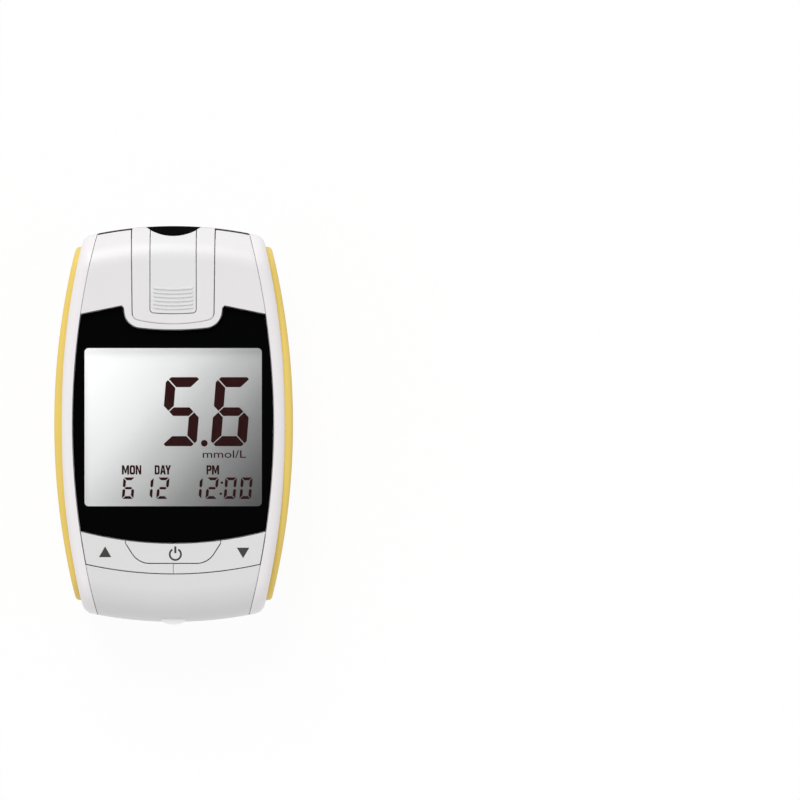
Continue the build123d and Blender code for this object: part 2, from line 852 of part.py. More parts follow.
with BuildPart() as buzzer:
    with BuildSketch(level(board_z)):
        with Locations((buzzer_x, buzzer_y)):
            Circle(buzzer_r)
    extrude(amount=-buzzer_t)

# ---- strip connector --------------------------------------------------------
connector_high_y = half_length - connector_from_end
connector_low_y = connector_high_y - connector_length

with BuildPart() as strip_connector:
    corner = (-connector_width / 2, connector_low_y, board_top_z)
    block(corner, (connector_width / 2, connector_high_y, board_top_z + connector_t))
    channel_low = (-channel_width / 2, connector_low_y, strip_z)
    channel_high = (channel_width / 2, connector_high_y, strip_z + channel_height)
    block(channel_low, channel_high, Mode.SUBTRACT)
    for x in contact_x:
        for side in (-x, x):
            groove_low = (side - contact_w / 2, connector_low_y, strip_z + channel_height)
            groove_high_z = strip_z + channel_height + contact_t
            groove_high = (side + contact_w / 2, connector_high_y - contact_tail, groove_high_z)
            block(groove_low, groove_high, Mode.SUBTRACT)

with BuildPart() as strip_contacts:
    for x in contact_x:
        for side in (-x, x):
            left, right = side - contact_w / 2, side + contact_w / 2
            arm_z = strip_z + channel_height
            tail_y = connector_low_y - contact_tail
            arm_high = (right, connector_high_y - contact_tail, arm_z + contact_t)
            block((left, tail_y, arm_z), arm_high)
            block((left, tail_y, board_top_z), (right, tail_y + contact_t, arm_z + contact_t))

# ---- ejector ----------------------------------------------------------------
with BuildPart() as ejector_slider:
    with BuildSketch(level(strip_z)):
        add(slider_outline.sketch)
        add(scoop.sketch, mode=Mode.SUBTRACT)
        offset(amount=-slider_gap)
    extrude(amount=body_height)
    add(outer_form, mode=Mode.INTERSECT)
    add(under_slider, mode=Mode.SUBTRACT)
    stem_top = body_height - slider_t / 2
    block((-stem_half, stem_back_y, pusher_z + pusher_t), (stem_half, stem_front_y, stem_top))
    with BuildSketch(level(stem_top)):
        for index in range(rib_count):
            rib_y = slider_y + rib_margin + index * rib_pitch
            rib_end_y = rib_y + rib_rise
            with BuildLine():
                bow = ThreePointArc((-rib_half, rib_end_y), (0, rib_y), (rib_half, rib_end_y))
            SlotArc(bow, rib_w)
    extrude(amount=slider_t / 2 + rib_h)

with BuildPart() as ejector_pusher:
    bar_low = (-pusher_half, pusher_back_y, pusher_z)
    block(bar_low, (pusher_half, pusher_front_y, pusher_z + pusher_t))
    block((-stem_half, pusher_back_y, pusher_z), (stem_half, stem_front_y, pusher_z + pusher_t))
    leg_z = board_top_z + leg_clear
    block((-leg_half, pusher_back_y, leg_z), (leg_half, pusher_back_y + leg_length, pusher_z))
    prong_z = strip_z + (channel_height - prong_t) / 2
    prong_front_y = pusher_back_y + leg_length + prong_length
    block((-prong_half, pusher_back_y, prong_z), (prong_half, prong_front_y, prong_z + prong_t))


def coil(x, z, radius, wire_r, low_y, high_y, turns):
    """Wire coil along +Y whose ends touch the planes at the two Y values."""
    length = high_y - low_y - 2 * wire_r
    start = (x, low_y + wire_r, z)
    with BuildPart() as spring:
        with BuildLine() as path:
            Helix(length / turns, length, radius, center=start, direction=(0, 1, 0))
        with BuildSketch(Plane(origin=path.line @ 0, z_dir=path.line % 0)):
            Circle(wire_r)
        sweep(path=path.line, is_frenet=True)
    return spring


spring_z = pusher_z + pusher_t / 2
spring_place = (spring_z, spring_r, spring_wire_r, pusher_front_y, stop_y, spring_turns)
left_spring = coil(-spring_x, *spring_place)
right_spring = coil(spring_x, *spring_place)

with BuildPart() as ejector_springs:
    add(left_spring.part)
    add(right_spring.part)

# ---- data jack --------------------------------------------------------------
with BuildPart() as data_jack:
    body_low = (-jack_width / 2, front_stack - half_length, jack_z - jack_height / 2)
    block(body_low, (jack_width / 2, jack_back_y, jack_z + jack_height / 2))
    with BuildSketch(across(jack_face_y)):
        with Locations((0, jack_z)):
            Circle(jack_collar_r)
    extrude(amount=jack_face_y - jack_back_y)
    with BuildSketch(across(jack_face_y)):
        with Locations((0, jack_z)):
            Circle(jack_bore_r)
    extrude(amount=-jack_bore_length, mode=Mode.SUBTRACT)


# ---- batteries and contacts -------------------------------------------------
def cell(x, toward):
    """AAA cell along Y whose button end points towards +Y or -Y."""
    nub_y = compartment_y + toward * (compartment_length / 2 - plate_t - plate_bump_h)
    with BuildPart() as can:
        with BuildSketch(across(nub_y)):
            with Locations((x, cell_z)):
                Circle(cell_nub_r)
        extrude(amount=toward * cell_length / 2)
        with BuildSketch(across(nub_y - toward * cell_nub_length)):
            with Locations((x, cell_z)):
                Circle(cell_r)
        extrude(amount=toward * (cell_length - cell_nub_length))
    return can


battery_cell_left = cell(-cell_x, 1)
battery_cell_right = cell(cell_x, -1)

plate_low_z = cell_z - plate_height / 2

with BuildPart() as contact_bridge:
    bridge_half = cell_x + plate_width / 2
    bridge_low = (-bridge_half, compartment_high_y - plate_t, plate_low_z)
    block(bridge_low, (bridge_half, compartment_high_y, plate_low_z + plate_height))
    with BuildSketch(across(compartment_high_y - plate_t)):
        with Locations((-cell_x, cell_z)):
            Circle(plate_bump_r)
    extrude(amount=plate_bump_h)


def terminal(x):
    """Contact plate at the lower end of the compartment, with a tab up to the board."""
    with BuildPart() as plate:
        low = (x - plate_width / 2, compartment_low_y, plate_low_z)
        block(low, (x + plate_width / 2, compartment_low_y + plate_t, plate_low_z + plate_height))
        tab_low = (x - tab_width / 2, compartment_low_y, cell_z)
        block(tab_low, (x + tab_width / 2, compartment_low_y + plate_t, board_z))
    return plate


contact_negative = terminal(-cell_x)
plain_terminal = terminal(cell_x)

with BuildPart() as contact_positive:
    add(plain_terminal.part)
    with BuildSketch(across(compartment_low_y + plate_t)):
        with Locations((cell_x, cell_z)):
            Circle(plate_bump_r)
    extrude(amount=-plate_bump_h)

left_low_y = compartment_low_y + plate_t
right_high_y = compartment_high_y - plate_t
left_coil = coil(-cell_x, cell_z, coil_r, coil_wire_r, left_low_y, left_low_y + coil_length, coil_turns)
right_coil = coil(cell_x, cell_z, coil_r, coil_wire_r, right_high_y - coil_length, right_high_y, coil_turns)

with BuildPart() as battery_springs:
    add(left_coil.part)
    add(right_coil.part)

# ---- screws that hold the two housings together -----------------------------
with BuildPart() as housing_screws:
    with BuildSketch(level(screw_seat)):
        with Locations(*screw_points):
            Circle(screw_r)
    extrude(amount=deck_z - screw_grip_end - screw_seat)
    with BuildSketch(level(screw_seat)):
        with Locations(*screw_points):
            Circle(screw_head_r)
    extrude(amount=-screw_head_t)
    with BuildSketch(level(screw_seat - screw_head_t)):
        with Locations(*screw_points):
            Rectangle(2 * screw_slot_half, screw_slot_w)
            Rectangle(screw_slot_w, 2 * screw_slot_half)
    extrude(amount=screw_slot_depth, mode=Mode.SUBTRACT)

# ---- names and files --------------------------------------------------------
pieces = {
    "front_housing": front_housing,
    "rear_housing": rear_housing,
    "left_side_grip": left_side_grip,
    "right_side_grip": right_side_grip,
    "top_panel": top_panel,
    "ejector_surround": ejector_surround,
    "bottom_panel": bottom_panel,
    "strip_port_bezel": strip_port_bezel,
    "display_lens": display_lens,
    "lens_mask": lens_mask,
    "lens_tape": lens_tape,
    "key_up": key_up,
    "key_power": key_power,
    "key_down": key_down,
    "key_switches": key_switches,
    "lcd_panel": lcd_panel,
    "lcd_frame": lcd_frame,
    "zebra_strips": zebra_strips,
    "main_pcb": main_pcb,
    "circuit_chips": circuit_chips,
    "quartz_crystal": quartz_crystal,
    "buzzer": buzzer,
    "strip_connector": strip_connector,
    "strip_contacts": strip_contacts,
    "ejector_slider": ejector_slider,
    "ejector_pusher": ejector_pusher,
    "ejector_springs": ejector_springs,
    "data_jack": data_jack,
    "battery_door": battery_door,
    "battery_cell_left": battery_cell_left,
    "battery_cell_right": battery_cell_right,
    "contact_bridge": contact_bridge,
    "contact_negative": contact_negative,
    "contact_positive": contact_positive,
    "battery_springs": battery_springs,
    "housing_screws": housing_screws,
}

os.makedirs("parts", exist_ok=True)
for name, piece in pieces.items():
    piece.part.label = name
    export_step(piece.part, f"parts/{name}.step")
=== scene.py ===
# %% [markdown]
# # Dressing a blood glucose meter
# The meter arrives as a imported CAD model: 36 pieces in metres, each at its place. This file is a
# lesson in how to give such a model its looks in Blender. It never moves a CAD piece. It breaks the
# sharp edges of the mouldings, lays the figures on the display and the marks on the keys, adds the
# small parts that CAD leaves out, and gives every piece the finish of its real material.

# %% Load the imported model
import json
import math
import bmesh
import bpy
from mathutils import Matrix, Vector
from mathutils.bvhtree import BVHTree

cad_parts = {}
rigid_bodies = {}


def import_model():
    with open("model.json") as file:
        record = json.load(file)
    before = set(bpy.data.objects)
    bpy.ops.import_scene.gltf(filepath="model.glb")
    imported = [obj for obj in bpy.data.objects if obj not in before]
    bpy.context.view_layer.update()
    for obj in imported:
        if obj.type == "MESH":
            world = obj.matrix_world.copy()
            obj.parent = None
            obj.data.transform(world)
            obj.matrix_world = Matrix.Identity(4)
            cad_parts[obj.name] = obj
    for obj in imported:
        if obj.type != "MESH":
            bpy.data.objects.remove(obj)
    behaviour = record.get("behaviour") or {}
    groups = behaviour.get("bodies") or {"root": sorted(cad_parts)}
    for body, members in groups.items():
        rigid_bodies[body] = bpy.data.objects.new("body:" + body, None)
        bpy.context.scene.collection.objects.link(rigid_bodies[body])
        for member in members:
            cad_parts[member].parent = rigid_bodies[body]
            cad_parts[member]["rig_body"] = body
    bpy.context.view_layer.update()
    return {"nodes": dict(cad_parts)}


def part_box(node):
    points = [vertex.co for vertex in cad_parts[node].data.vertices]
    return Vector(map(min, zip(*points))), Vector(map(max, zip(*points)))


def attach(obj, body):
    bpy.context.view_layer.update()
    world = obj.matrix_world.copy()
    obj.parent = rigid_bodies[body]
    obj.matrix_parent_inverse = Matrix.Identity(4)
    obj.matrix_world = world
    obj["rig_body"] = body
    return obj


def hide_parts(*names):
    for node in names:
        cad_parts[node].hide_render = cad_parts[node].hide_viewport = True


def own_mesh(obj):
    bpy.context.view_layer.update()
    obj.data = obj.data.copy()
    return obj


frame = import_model()
nodes = frame["nodes"]
MM = 0.001

# %% [markdown]
# ## Studio
# The meter lies on its back on a white table, and the camera hangs far above it. A very long lens
# keeps the sides of the case from showing, as in a catalogue picture. The frame is as wide as a
# small parcel, with the meter in its left half.

# %% Camera
LENS_MM = 600.0
SENSOR_MM = 36.0
FRAME_WIDTH = 193.9 * MM
FRAME_CENTRE = (54.9 * MM, 5.80 * MM)
FOCUS_HEIGHT = 20 * MM

scene = bpy.context.scene
scene.view_settings.view_transform = "Standard"
camera_data = bpy.data.cameras.new("overhead_camera")
camera_data.lens = LENS_MM
camera_data.sensor_width = SENSOR_MM
camera_data.clip_end = 50.0
camera = bpy.data.objects.new("overhead_camera", camera_data)
distance = FRAME_WIDTH * LENS_MM / SENSOR_MM
camera.location = (*FRAME_CENTRE, FOCUS_HEIGHT + distance)
scene.collection.objects.link(camera)
scene.camera = camera
print("camera height in m:", round(camera.location.z, 3))

# %% [markdown]
# Colours are written as sRGB hex values, the way a paint chart gives them. Shaders count in linear
# light, so one function turns them. Another adds a node with its settings and its links, and a third
# adds a node that calculates, so that each material below reads as a short recipe.


# %% Colour and node helpers
def linear(colour):
    """Linear RGBA of an sRGB hex colour such as #E9E7E7."""
    shares = [int(colour[i : i + 2], 16) / 255 for i in (1, 3, 5)]
    turned = [s / 12.92 if s <= 0.04045 else ((s + 0.055) / 1.055) ** 2.4 for s in shares]
    return (*turned, 1.0)


def add(tree, kind, inputs=None, **settings):
    """Adds a node. A socket given as an input is linked, and any other value is set."""
    node = tree.nodes.new(kind)
    for name, value in settings.items():
        setattr(node, name, value)
    for name, value in (inputs or {}).items():
        if isinstance(value, bpy.types.NodeSocket):
            tree.links.new(value, node.inputs[name])
        else:
            node.inputs[name].default_value = value
    return node


def maths(tree, operation, *values, **settings):
    """Result of a maths node on the given values and sockets."""
    node = add(tree, "ShaderNodeMath", dict(enumerate(values)), operation=operation, **settings)
    return node.outputs[0]


def new_tree(owner):
    """Empty node tree of a material or a world."""
    owner.use_nodes = True
    owner.node_tree.nodes.clear()
    return owner.node_tree


def show(tree, shader, output="ShaderNodeOutputMaterial"):
    """Links a shader's result to the tree's output."""
    add(tree, output, {"Surface": shader.outputs[0]})


print("pure white is", linear("#FFFFFF"))

# %% [markdown]
# ## Light
# White plastic shows its shape only by shading, so the light may not come from everywhere alike. A
# broad soft lamp stands beyond the strip end, halfway up, and the white walls of the room fill in
# the rest. A level face gets a light of about 1.2 from the two, and the plastics below render a few
# steps darker than their colours are written. A slope towards the lamp is brighter, and one away from
# it is darker. What mirrors the room sees bright walls and a dark ceiling, which is why the display's
# black border stays black from above.

# %% Lamp and room
ROOM_LIGHT = 0.93
LAMP_SHARE = 0.37
LAMP_ANGLE = math.radians(35)
LAMP_FROM = Vector((-0.2, 0.68, 0.7))
CEILING_START = 0.45
CEILING_END = 0.9
CEILING_LIGHT = 0.015

lamp_data = bpy.data.lights.new("soft_lamp", "SUN")
lamp_data.energy = LAMP_SHARE * math.pi
lamp_data.angle = LAMP_ANGLE
lamp = bpy.data.objects.new("soft_lamp", lamp_data)
lamp.rotation_euler = LAMP_FROM.to_track_quat("Z", "Y").to_euler()
scene.collection.objects.link(lamp)

world = bpy.data.worlds.new("white_room")
scene.world = world
tree = new_tree(world)
path = add(tree, "ShaderNodeLightPath").outputs
toward = add(tree, "ShaderNodeTexCoord").outputs["Generated"]
height = add(tree, "ShaderNodeSeparateXYZ", {"Vector": toward}).outputs["Z"]
heights = {"Value": height, "From Min": CEILING_START, "From Max": CEILING_END}
darkening = {**heights, "To Min": 1.0, "To Max": CEILING_LIGHT}
walls = add(tree, "ShaderNodeMapRange", darkening).outputs["Result"]
by_ray = {"Factor": path["Is Glossy Ray"], "A": ROOM_LIGHT, "B": walls}
fill = add(tree, "ShaderNodeMix", by_ray).outputs["Result"]
by_viewer = {"Factor": path["Is Camera Ray"], "A": fill, "B": 1.0}
level = add(tree, "ShaderNodeMix", by_viewer).outputs["Result"]
show(tree, add(tree, "ShaderNodeBackground", {"Strength": level}), "ShaderNodeOutputWorld")
print("light on a level face:", round(ROOM_LIGHT + LAMP_SHARE * LAMP_FROM.normalized().z, 3))

# %% [markdown]
# The table is one white sheet under the meter. The camera and mirrors see it, with the meter's soft
# shadow on it. From below it is clear, so that the back of the case can be looked at too, and other
# rays pass it and reach the room, which keeps that side lit. It lies a hair below the case, since two
# faces in one plane would flicker.

# %% Table
TABLE_HALF = 30.0
TABLE_GLOW = 0.92
TABLE_Z = -0.02 * MM

table_mesh = bpy.data.meshes.new("table")
corners = [(-1, -1), (1, -1), (1, 1), (-1, 1)]
spots = [(x * TABLE_HALF, y * TABLE_HALF, TABLE_Z) for x, y in corners]
table_mesh.from_pydata(spots, [], [(0, 1, 2, 3)])
table = bpy.data.objects.new("table", table_mesh)
scene.collection.objects.link(table)
table_finish = bpy.data.materials.new("matt_white_table")
tree = new_tree(table_finish)
path = add(tree, "ShaderNodeLightPath").outputs
mirrored = maths(tree, "MAXIMUM", path["Is Glossy Ray"], path["Is Transmission Ray"])
looked_at = maths(tree, "MAXIMUM", path["Is Camera Ray"], mirrored)
below = add(tree, "ShaderNodeNewGeometry").outputs["Backfacing"]
shown = maths(tree, "SUBTRACT", looked_at, below, use_clamp=True)
paper = add(tree, "ShaderNodeBsdfDiffuse", {"Color": linear("#FCFCFC")})
glow = add(tree, "ShaderNodeEmission", {"Strength": 1.0})
sheet = add(tree, "ShaderNodeMixShader", {0: TABLE_GLOW, 1: paper.outputs[0], 2: glow.outputs[0]})
clear = add(tree, "ShaderNodeBsdfTransparent")
show(tree, add(tree, "ShaderNodeMixShader", {0: shown, 1: clear.outputs[0], 2: sheet.outputs[0]}))
table_mesh.materials.append(table_finish)
print("table side in m:", 2 * TABLE_HALF)

# %% [markdown]
# ## Finishes
# Most of the case is ABS, moulded in a steel tool whose walls were etched or spark-eroded. That
# leaves a fine satin grain, which breaks up reflections. The recipe is a plastic shader (IOR about
# 1.5, no metal), a faint cloudiness in its colour, and a noise bump for the grain. Real grain is a
# few hundredths of a millimetre, too fine for any render, so it is drawn several times as coarse.


# %% Moulded plastic
CLOUD_MM = 9.0
GRAIN_STRENGTH = 0.5


def noise(tree, size_mm, detail):
    """Noise with patches of the given size, as a value from 0 to 1."""
    place = add(tree, "ShaderNodeTexCoord").outputs["Object"]
    patches = {"Vector": place, "Scale": 1 / (size_mm * MM), "Detail": detail}
    return add(tree, "ShaderNodeTexNoise", patches).outputs["Fac"]


def clouded(tree, colour, depth, patch_mm):
    """A colour that drifts slightly darker in soft patches of the given size."""
    darker = tuple(c * (1 - depth) for c in linear(colour)[:3]) + (1.0,)
    tones = {"Factor": noise(tree, patch_mm, 2.0), 6: linear(colour), 7: darker}
    return add(tree, "ShaderNodeMix", tones, data_type="RGBA").outputs[2]


def grain(tree, size_mm, depth_mm, strength):
    """Normal of a surface with grain of the given size and depth."""
    bumps = {"Height": noise(tree, size_mm, 3.0), "Distance": depth_mm * MM, "Strength": strength}
    return add(tree, "ShaderNodeBump", bumps).outputs["Normal"]


def moulded(name, colour, roughness, grain_mm, grain_depth_mm, shine=0.5, cloud=0.03):
    """Opaque moulded plastic or rubber with a fine surface grain."""
    material = bpy.data.materials.new(name)
    tree = new_tree(material)
    shader = add(
        tree,
        "ShaderNodeBsdfPrincipled",
        {
            "Base Color": clouded(tree, colour, cloud, CLOUD_MM),
            "Roughness": roughness,
            "IOR": 1.53,
            "Specular IOR Level": shine,
            "Normal": grain(tree, grain_mm, grain_depth_mm, GRAIN_STRENGTH),
        },
    )
    show(tree, shader)
    return material


white_abs = moulded("satin_white_abs", "#F1EDEE", 0.36, 0.30, 0.006)
panel_abs = moulded("satin_panel_abs", "#EAE8E9", 0.33, 0.30, 0.005)
slider_abs = moulded("satin_slider_abs", "#E8E8E8", 0.33, 0.28, 0.005)
# The bottom panel gets a darker copy of the panel's plastic: painted shade for the end away from the
# lamp.
painted_shade_lower_abs = moulded("lower_panel_abs_painted_shade", "#E0DFE0", 0.36, 0.30, 0.006)
key_abs = moulded("matt_key_abs", "#E1E0E0", 0.45, 0.22, 0.006)
black_abs = moulded("black_abs", "#040404", 0.55, 0.25, 0.006, shine=0.1, cloud=0.2)
black_nylon = moulded("black_glass_nylon", "#131314", 0.50, 0.18, 0.006)
white_nylon = moulded("white_nylon", "#E4E3DE", 0.50, 0.25, 0.005)
print("plastics ready:", len(bpy.data.materials))

# %% [markdown]
# The side grips are a thermoplastic elastomer, a soft rubber that is moulded over or pressed into
# the case. It is matt, with a slight sheen where light grazes it, and its grain is deeper than that
# of the hard plastic.


# %% Soft-touch rubber of the grips
def grip_rubber(colour):
    """Elastomer with a sheen."""
    material = bpy.data.materials.new("soft_touch_yellow_elastomer")
    tree = new_tree(material)
    shader = add(
        tree,
        "ShaderNodeBsdfPrincipled",
        {
            "Base Color": clouded(tree, colour, depth=0.06, patch_mm=12.0),
            "Roughness": 0.55,
            "IOR": 1.50,
            "Sheen Weight": 0.15,
            "Normal": grain(tree, size_mm=0.35, depth_mm=0.012, strength=0.6),
        },
    )
    show(tree, shader)
    return material


yellow_rubber = grip_rubber("#EFD066")
print("grip material:", yellow_rubber.name)

# %% [markdown]
# The display window is clear acrylic. It bends and mirrors light as glass does, with an IOR of 1.49.
# Lamps can't shine through a refracting surface in this renderer without a lot of noise, so rays on
# their way to a lamp pass the window as if it were open. The black border is ink printed on the back
# of the acrylic, which is why it looks wet and deep.


# %% Window, border and glass
def acrylic():
    """Clear polished acrylic that lets lamp light through."""
    material = bpy.data.materials.new("clear_acrylic")
    tree = new_tree(material)
    shadow = add(tree, "ShaderNodeLightPath").outputs["Is Shadow Ray"]
    solid = add(
        tree,
        "ShaderNodeBsdfPrincipled",
        {"Base Color": linear("#FDFEFE"), "Roughness": 0.0, "IOR": 1.49, "Transmission Weight": 1.0},
    )
    gap = add(tree, "ShaderNodeBsdfTransparent")
    show(tree, add(tree, "ShaderNodeMixShader", {0: shadow, 1: solid.outputs[0], 2: gap.outputs[0]}))
    return material


clear_acrylic = acrylic()
border_ink = moulded("black_border_ink", "#020202", 0.30, 0.4, 0.001, shine=0.2, cloud=0.3)
foam = moulded("black_foam_tape", "#1A1A1B", 0.85, 0.20, 0.04, shine=0.3, cloud=0.2)
print("window pieces:", [n for n in nodes if n.startswith("lens") or n.startswith("display")])

# %% [markdown]
# The display is pale grey glass over a silvery film. Its tones are painted light. A painted reflection
# runs from almost white at its upper left corner to a mid grey at its lower right one, as a straight
# gradient slanted across the panel. The panel also gives off a painted glow in the same tones, though
# no lamp is behind it, and that glow hides the shade that the border casts on it.

# %% Display glass
# Painted reflection: tones of the panel from its upper left corner to its lower right one.
PAINTED_LIGHT_TONES = (
    (0.00, "#FFFFFF"),
    (0.08, "#EEEEEE"),
    (0.20, "#E3E3E3"),
    (0.35, "#D4D4D4"),
    (0.50, "#B4B4B4"),
    (0.60, "#A1A1A1"),
    (0.70, "#848484"),
    (0.85, "#636363"),
    (0.95, "#505050"),
)
PAINTED_LIGHT_SLANT = 0.79
# Strength of the painted glow, which stands in for light that no lamp gives.
PAINTED_GLOW = 0.8

panel_low, panel_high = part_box("lcd_panel")


def display_glass():
    """Glass with painted light: a painted reflection that falls off across the panel, and a painted
    glow.
    """
    material = bpy.data.materials.new("polarised_display_glass")
    tree = new_tree(material)
    place = add(tree, "ShaderNodeTexCoord").outputs["Object"]
    parts = add(tree, "ShaderNodeSeparateXYZ", {"Vector": place}).outputs
    across = {"Value": parts["X"], "From Min": panel_low.x, "From Max": panel_high.x}
    down = {"Value": parts["Y"], "From Min": panel_high.y, "From Max": panel_low.y}
    right = add(tree, "ShaderNodeMapRange", across).outputs["Result"]
    lower = add(tree, "ShaderNodeMapRange", down).outputs["Result"]
    run = maths(tree, "MULTIPLY_ADD", lower, PAINTED_LIGHT_SLANT, right)
    share = maths(tree, "DIVIDE", run, 1 + PAINTED_LIGHT_SLANT)
    ramp = add(tree, "ShaderNodeValToRGB", {"Fac": share})
    stops = ramp.color_ramp.elements
    while len(stops) < len(PAINTED_LIGHT_TONES):
        stops.new(0.5)
    for stop, (position, written) in zip(stops, PAINTED_LIGHT_TONES):
        stop.position = position
        stop.color = linear(written)
    tone = ramp.outputs["Color"]
    # Painted glow: the panel emits its own tones, so the border's shade hardly shows.
    glow = {"Emission Color": tone, "Emission Strength": PAINTED_GLOW}
    finish = {"Base Color": tone, "Roughness": 0.6, "IOR": 1.50, "Specular IOR Level": 0.1}
    show(tree, add(tree, "ShaderNodeBsdfPrincipled", {**finish, **glow}))
    return material


painted_light_panel_glass = display_glass()
figure_ink = moulded("switched_crystal_figures", "#472626", 0.25, 0.4, 0.001, shine=0.03, cloud=0.15)
mark_ink = moulded("grey_key_print", "#454543", 0.45, 0.2, 0.002, shine=0.3, cloud=0.1)
print("panel in mm:", [round(v / MM, 1) for v in panel_high - panel_low])

# %% [markdown]
# ## Metals, board and rubber parts inside
# Nothing inside shows while the case is closed, but each piece still has the finish of what it is.
# Metals take their colour from the metal itself and keep the shader's own IOR.


# %% Metals
def metal(name, colour, roughness, grain_mm, grain_depth_mm):
    """Bare or plated metal with a fine surface."""
    material = bpy.data.materials.new(name)
    tree = new_tree(material)
    shader = add(
        tree,
        "ShaderNodeBsdfPrincipled",
        {
            "Base Color": clouded(tree, colour, depth=0.06, patch_mm=3.0),
            "Metallic": 1.0,
            "Roughness": roughness,
            "Normal": grain(tree, grain_mm, grain_depth_mm, strength=0.4),
        },
    )
    show(tree, shader)
    return material


spring_steel = metal("bright_spring_steel", "#C9CACC", 0.25, 0.15, 0.002)
screw_zinc = metal("black_zinc_screw", "#4A4A4C", 0.38, 0.12, 0.004)
nickel_plate = metal("nickel_plated_steel", "#CFCBC3", 0.28, 0.20, 0.002)
gold_plate = metal("gold_plated_contact", "#D9AE55", 0.25, 0.15, 0.002)
tin_plate = metal("tinned_copper", "#C4C5C6", 0.35, 0.12, 0.003)
print("metals:", [m.name for m in (spring_steel, screw_zinc, nickel_plate, gold_plate, tin_plate)])

# %% [markdown]
# A circuit board is glass-fibre laminate under green solder mask, and its copper tracks show through
# as slightly lighter lines. The strips that join the display to the board are silicone rubber with
# thin conducting layers in it. Chips are moulded in black epoxy with a dull, sandy surface.


# %% Board and layered rubber
def solder_mask():
    """Green solder mask with a lattice of tracks under it."""
    material = bpy.data.materials.new("green_solder_mask")
    tree = new_tree(material)
    pattern = {
        "Vector": add(tree, "ShaderNodeTexCoord").outputs["Object"],
        "Scale": 1 / (6 * MM),
        "Mortar Size": 0.035,
        "Mortar Smooth": 0.2,
        "Color1": linear("#0E5B2E"),
        "Color2": linear("#0C532A"),
        "Mortar": linear("#2F8B4C"),
    }
    tracks = add(tree, "ShaderNodeTexBrick", pattern).outputs
    raised = {"Height": tracks["Fac"], "Distance": 0.03 * MM, "Strength": 0.4}
    relief = add(tree, "ShaderNodeBump", raised).outputs["Normal"]
    finish = {"Base Color": tracks["Color"], "Roughness": 0.3, "IOR": 1.52, "Normal": relief}
    show(tree, add(tree, "ShaderNodeBsdfPrincipled", finish))
    return material


def striped_rubber():
    """Silicone with thin conducting layers, as in a connector between glass and board."""
    material = bpy.data.materials.new("layered_silicone")
    tree = new_tree(material)
    place = add(tree, "ShaderNodeTexCoord").outputs["Object"]
    bands = {"Vector": place, "Scale": 1 / (1.6 * MM), "Distortion": 0.0}
    layers = add(tree, "ShaderNodeTexWave", bands, wave_type="BANDS", bands_direction="X")
    tones = {"Factor": layers.outputs["Fac"], 6: linear("#2B2B2E"), 7: linear("#9C9A96")}
    tone = add(tree, "ShaderNodeMix", tones, data_type="RGBA").outputs[2]
    finish = {"Base Color": tone, "Roughness": 0.7, "IOR": 1.43}
    show(tree, add(tree, "ShaderNodeBsdfPrincipled", finish))
    return material


board_green = solder_mask()
layered_silicone = striped_rubber()
chip_epoxy = moulded("black_chip_epoxy", "#1B1B1D", 0.60, 0.10, 0.008)
board_low, board_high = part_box("main_pcb")
print("board in mm:", [round(v / MM, 1) for v in board_high - board_low])

# %% [markdown]
# A dry cell is a steel can in a shrunk plastic sleeve. The sleeve stops short of the button end, so
# bare metal shows there, and a lighter band marks the positive end.

# %% Sleeve of the cells
SLEEVE = "#2F4A63"
BAND = "#C9CDD1"
BAND_LENGTH = 9 * MM
BUTTON_BARE = 1.4 * MM


def cell_sleeve(name, end):
    """Printed sleeve of a cell whose button end lies at the given Y."""
    material = bpy.data.materials.new(name)
    tree = new_tree(material)
    place = add(tree, "ShaderNodeTexCoord").outputs["Object"]
    along = add(tree, "ShaderNodeSeparateXYZ", {"Vector": place}).outputs["Y"]
    inward = maths(tree, "ABSOLUTE", maths(tree, "SUBTRACT", end, along))
    banded = maths(tree, "LESS_THAN", inward, BAND_LENGTH)
    bare = maths(tree, "LESS_THAN", inward, BUTTON_BARE)
    tones = {"Factor": banded, 6: linear(SLEEVE), 7: linear(BAND)}
    tone = add(tree, "ShaderNodeMix", tones, data_type="RGBA").outputs[2]
    finish = {"Base Color": tone, "Roughness": 0.3, "IOR": 1.5, "Metallic": bare}
    show(tree, add(tree, "ShaderNodeBsdfPrincipled", finish))
    return material


left_sleeve = cell_sleeve("sleeve_of_left_cell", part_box("battery_cell_left")[1].y)
right_sleeve = cell_sleeve("sleeve_of_right_cell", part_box("battery_cell_right")[0].y)
print("sleeves:", left_sleeve.name, right_sleeve.name)

# %% [markdown]
# ## Giving the pieces their finish
# The outer mouldings are shown by copies whose sharp edges are broken by a small radius. No moulding
# has a knife edge, and the fine bright line along a seam comes from that radius. The copy is merged
# first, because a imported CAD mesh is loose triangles, and flat triangles are joined into whole faces.
# Only edges between two outside faces are rounded, so the rims of holes stay crisp. A face is outside
# when a straight line from its middle, along its normal, meets nothing of the same piece.

# %% Finding the outer edges
CREASE = math.radians(38.0)
OFF_SURFACE = 0.01 * MM
SAME_SPOT = 0.001 * MM
SAME_PLANE = math.radians(0.2)


def merged_copy(node):
    """Editable copy of a CAD node with its loose triangles joined into whole faces."""
    solid = bmesh.new()
    solid.from_mesh(nodes[node].data)
    bmesh.ops.remove_doubles(solid, verts=solid.verts, dist=SAME_SPOT)
    bmesh.ops.dissolve_limit(solid, angle_limit=SAME_PLANE, verts=solid.verts, edges=solid.edges)
    return solid


def mark_outer_edges(solid):
    """Gives a bevel weight to each sharp outward corner between two outside faces."""
    tree = BVHTree.FromBMesh(solid)
    open_faces = set()
    for face in solid.faces:
        start = face.calc_center_median() + face.normal * OFF_SURFACE
        if tree.ray_cast(start, face.normal)[0] is None:
            open_faces.add(face)
    weight = solid.edges.layers.float.new("bevel_weight_edge")
    marked = 0
    for edge in solid.edges:
        if len(edge.link_faces) != 2 or not edge.is_convex or edge.calc_face_angle() < CREASE:
            continue
        if open_faces.issuperset(edge.link_faces):
            edge[weight] = 1.0
            marked += 1
    return marked


print("an edge counts as sharp above", round(math.degrees(CREASE)), "degrees")


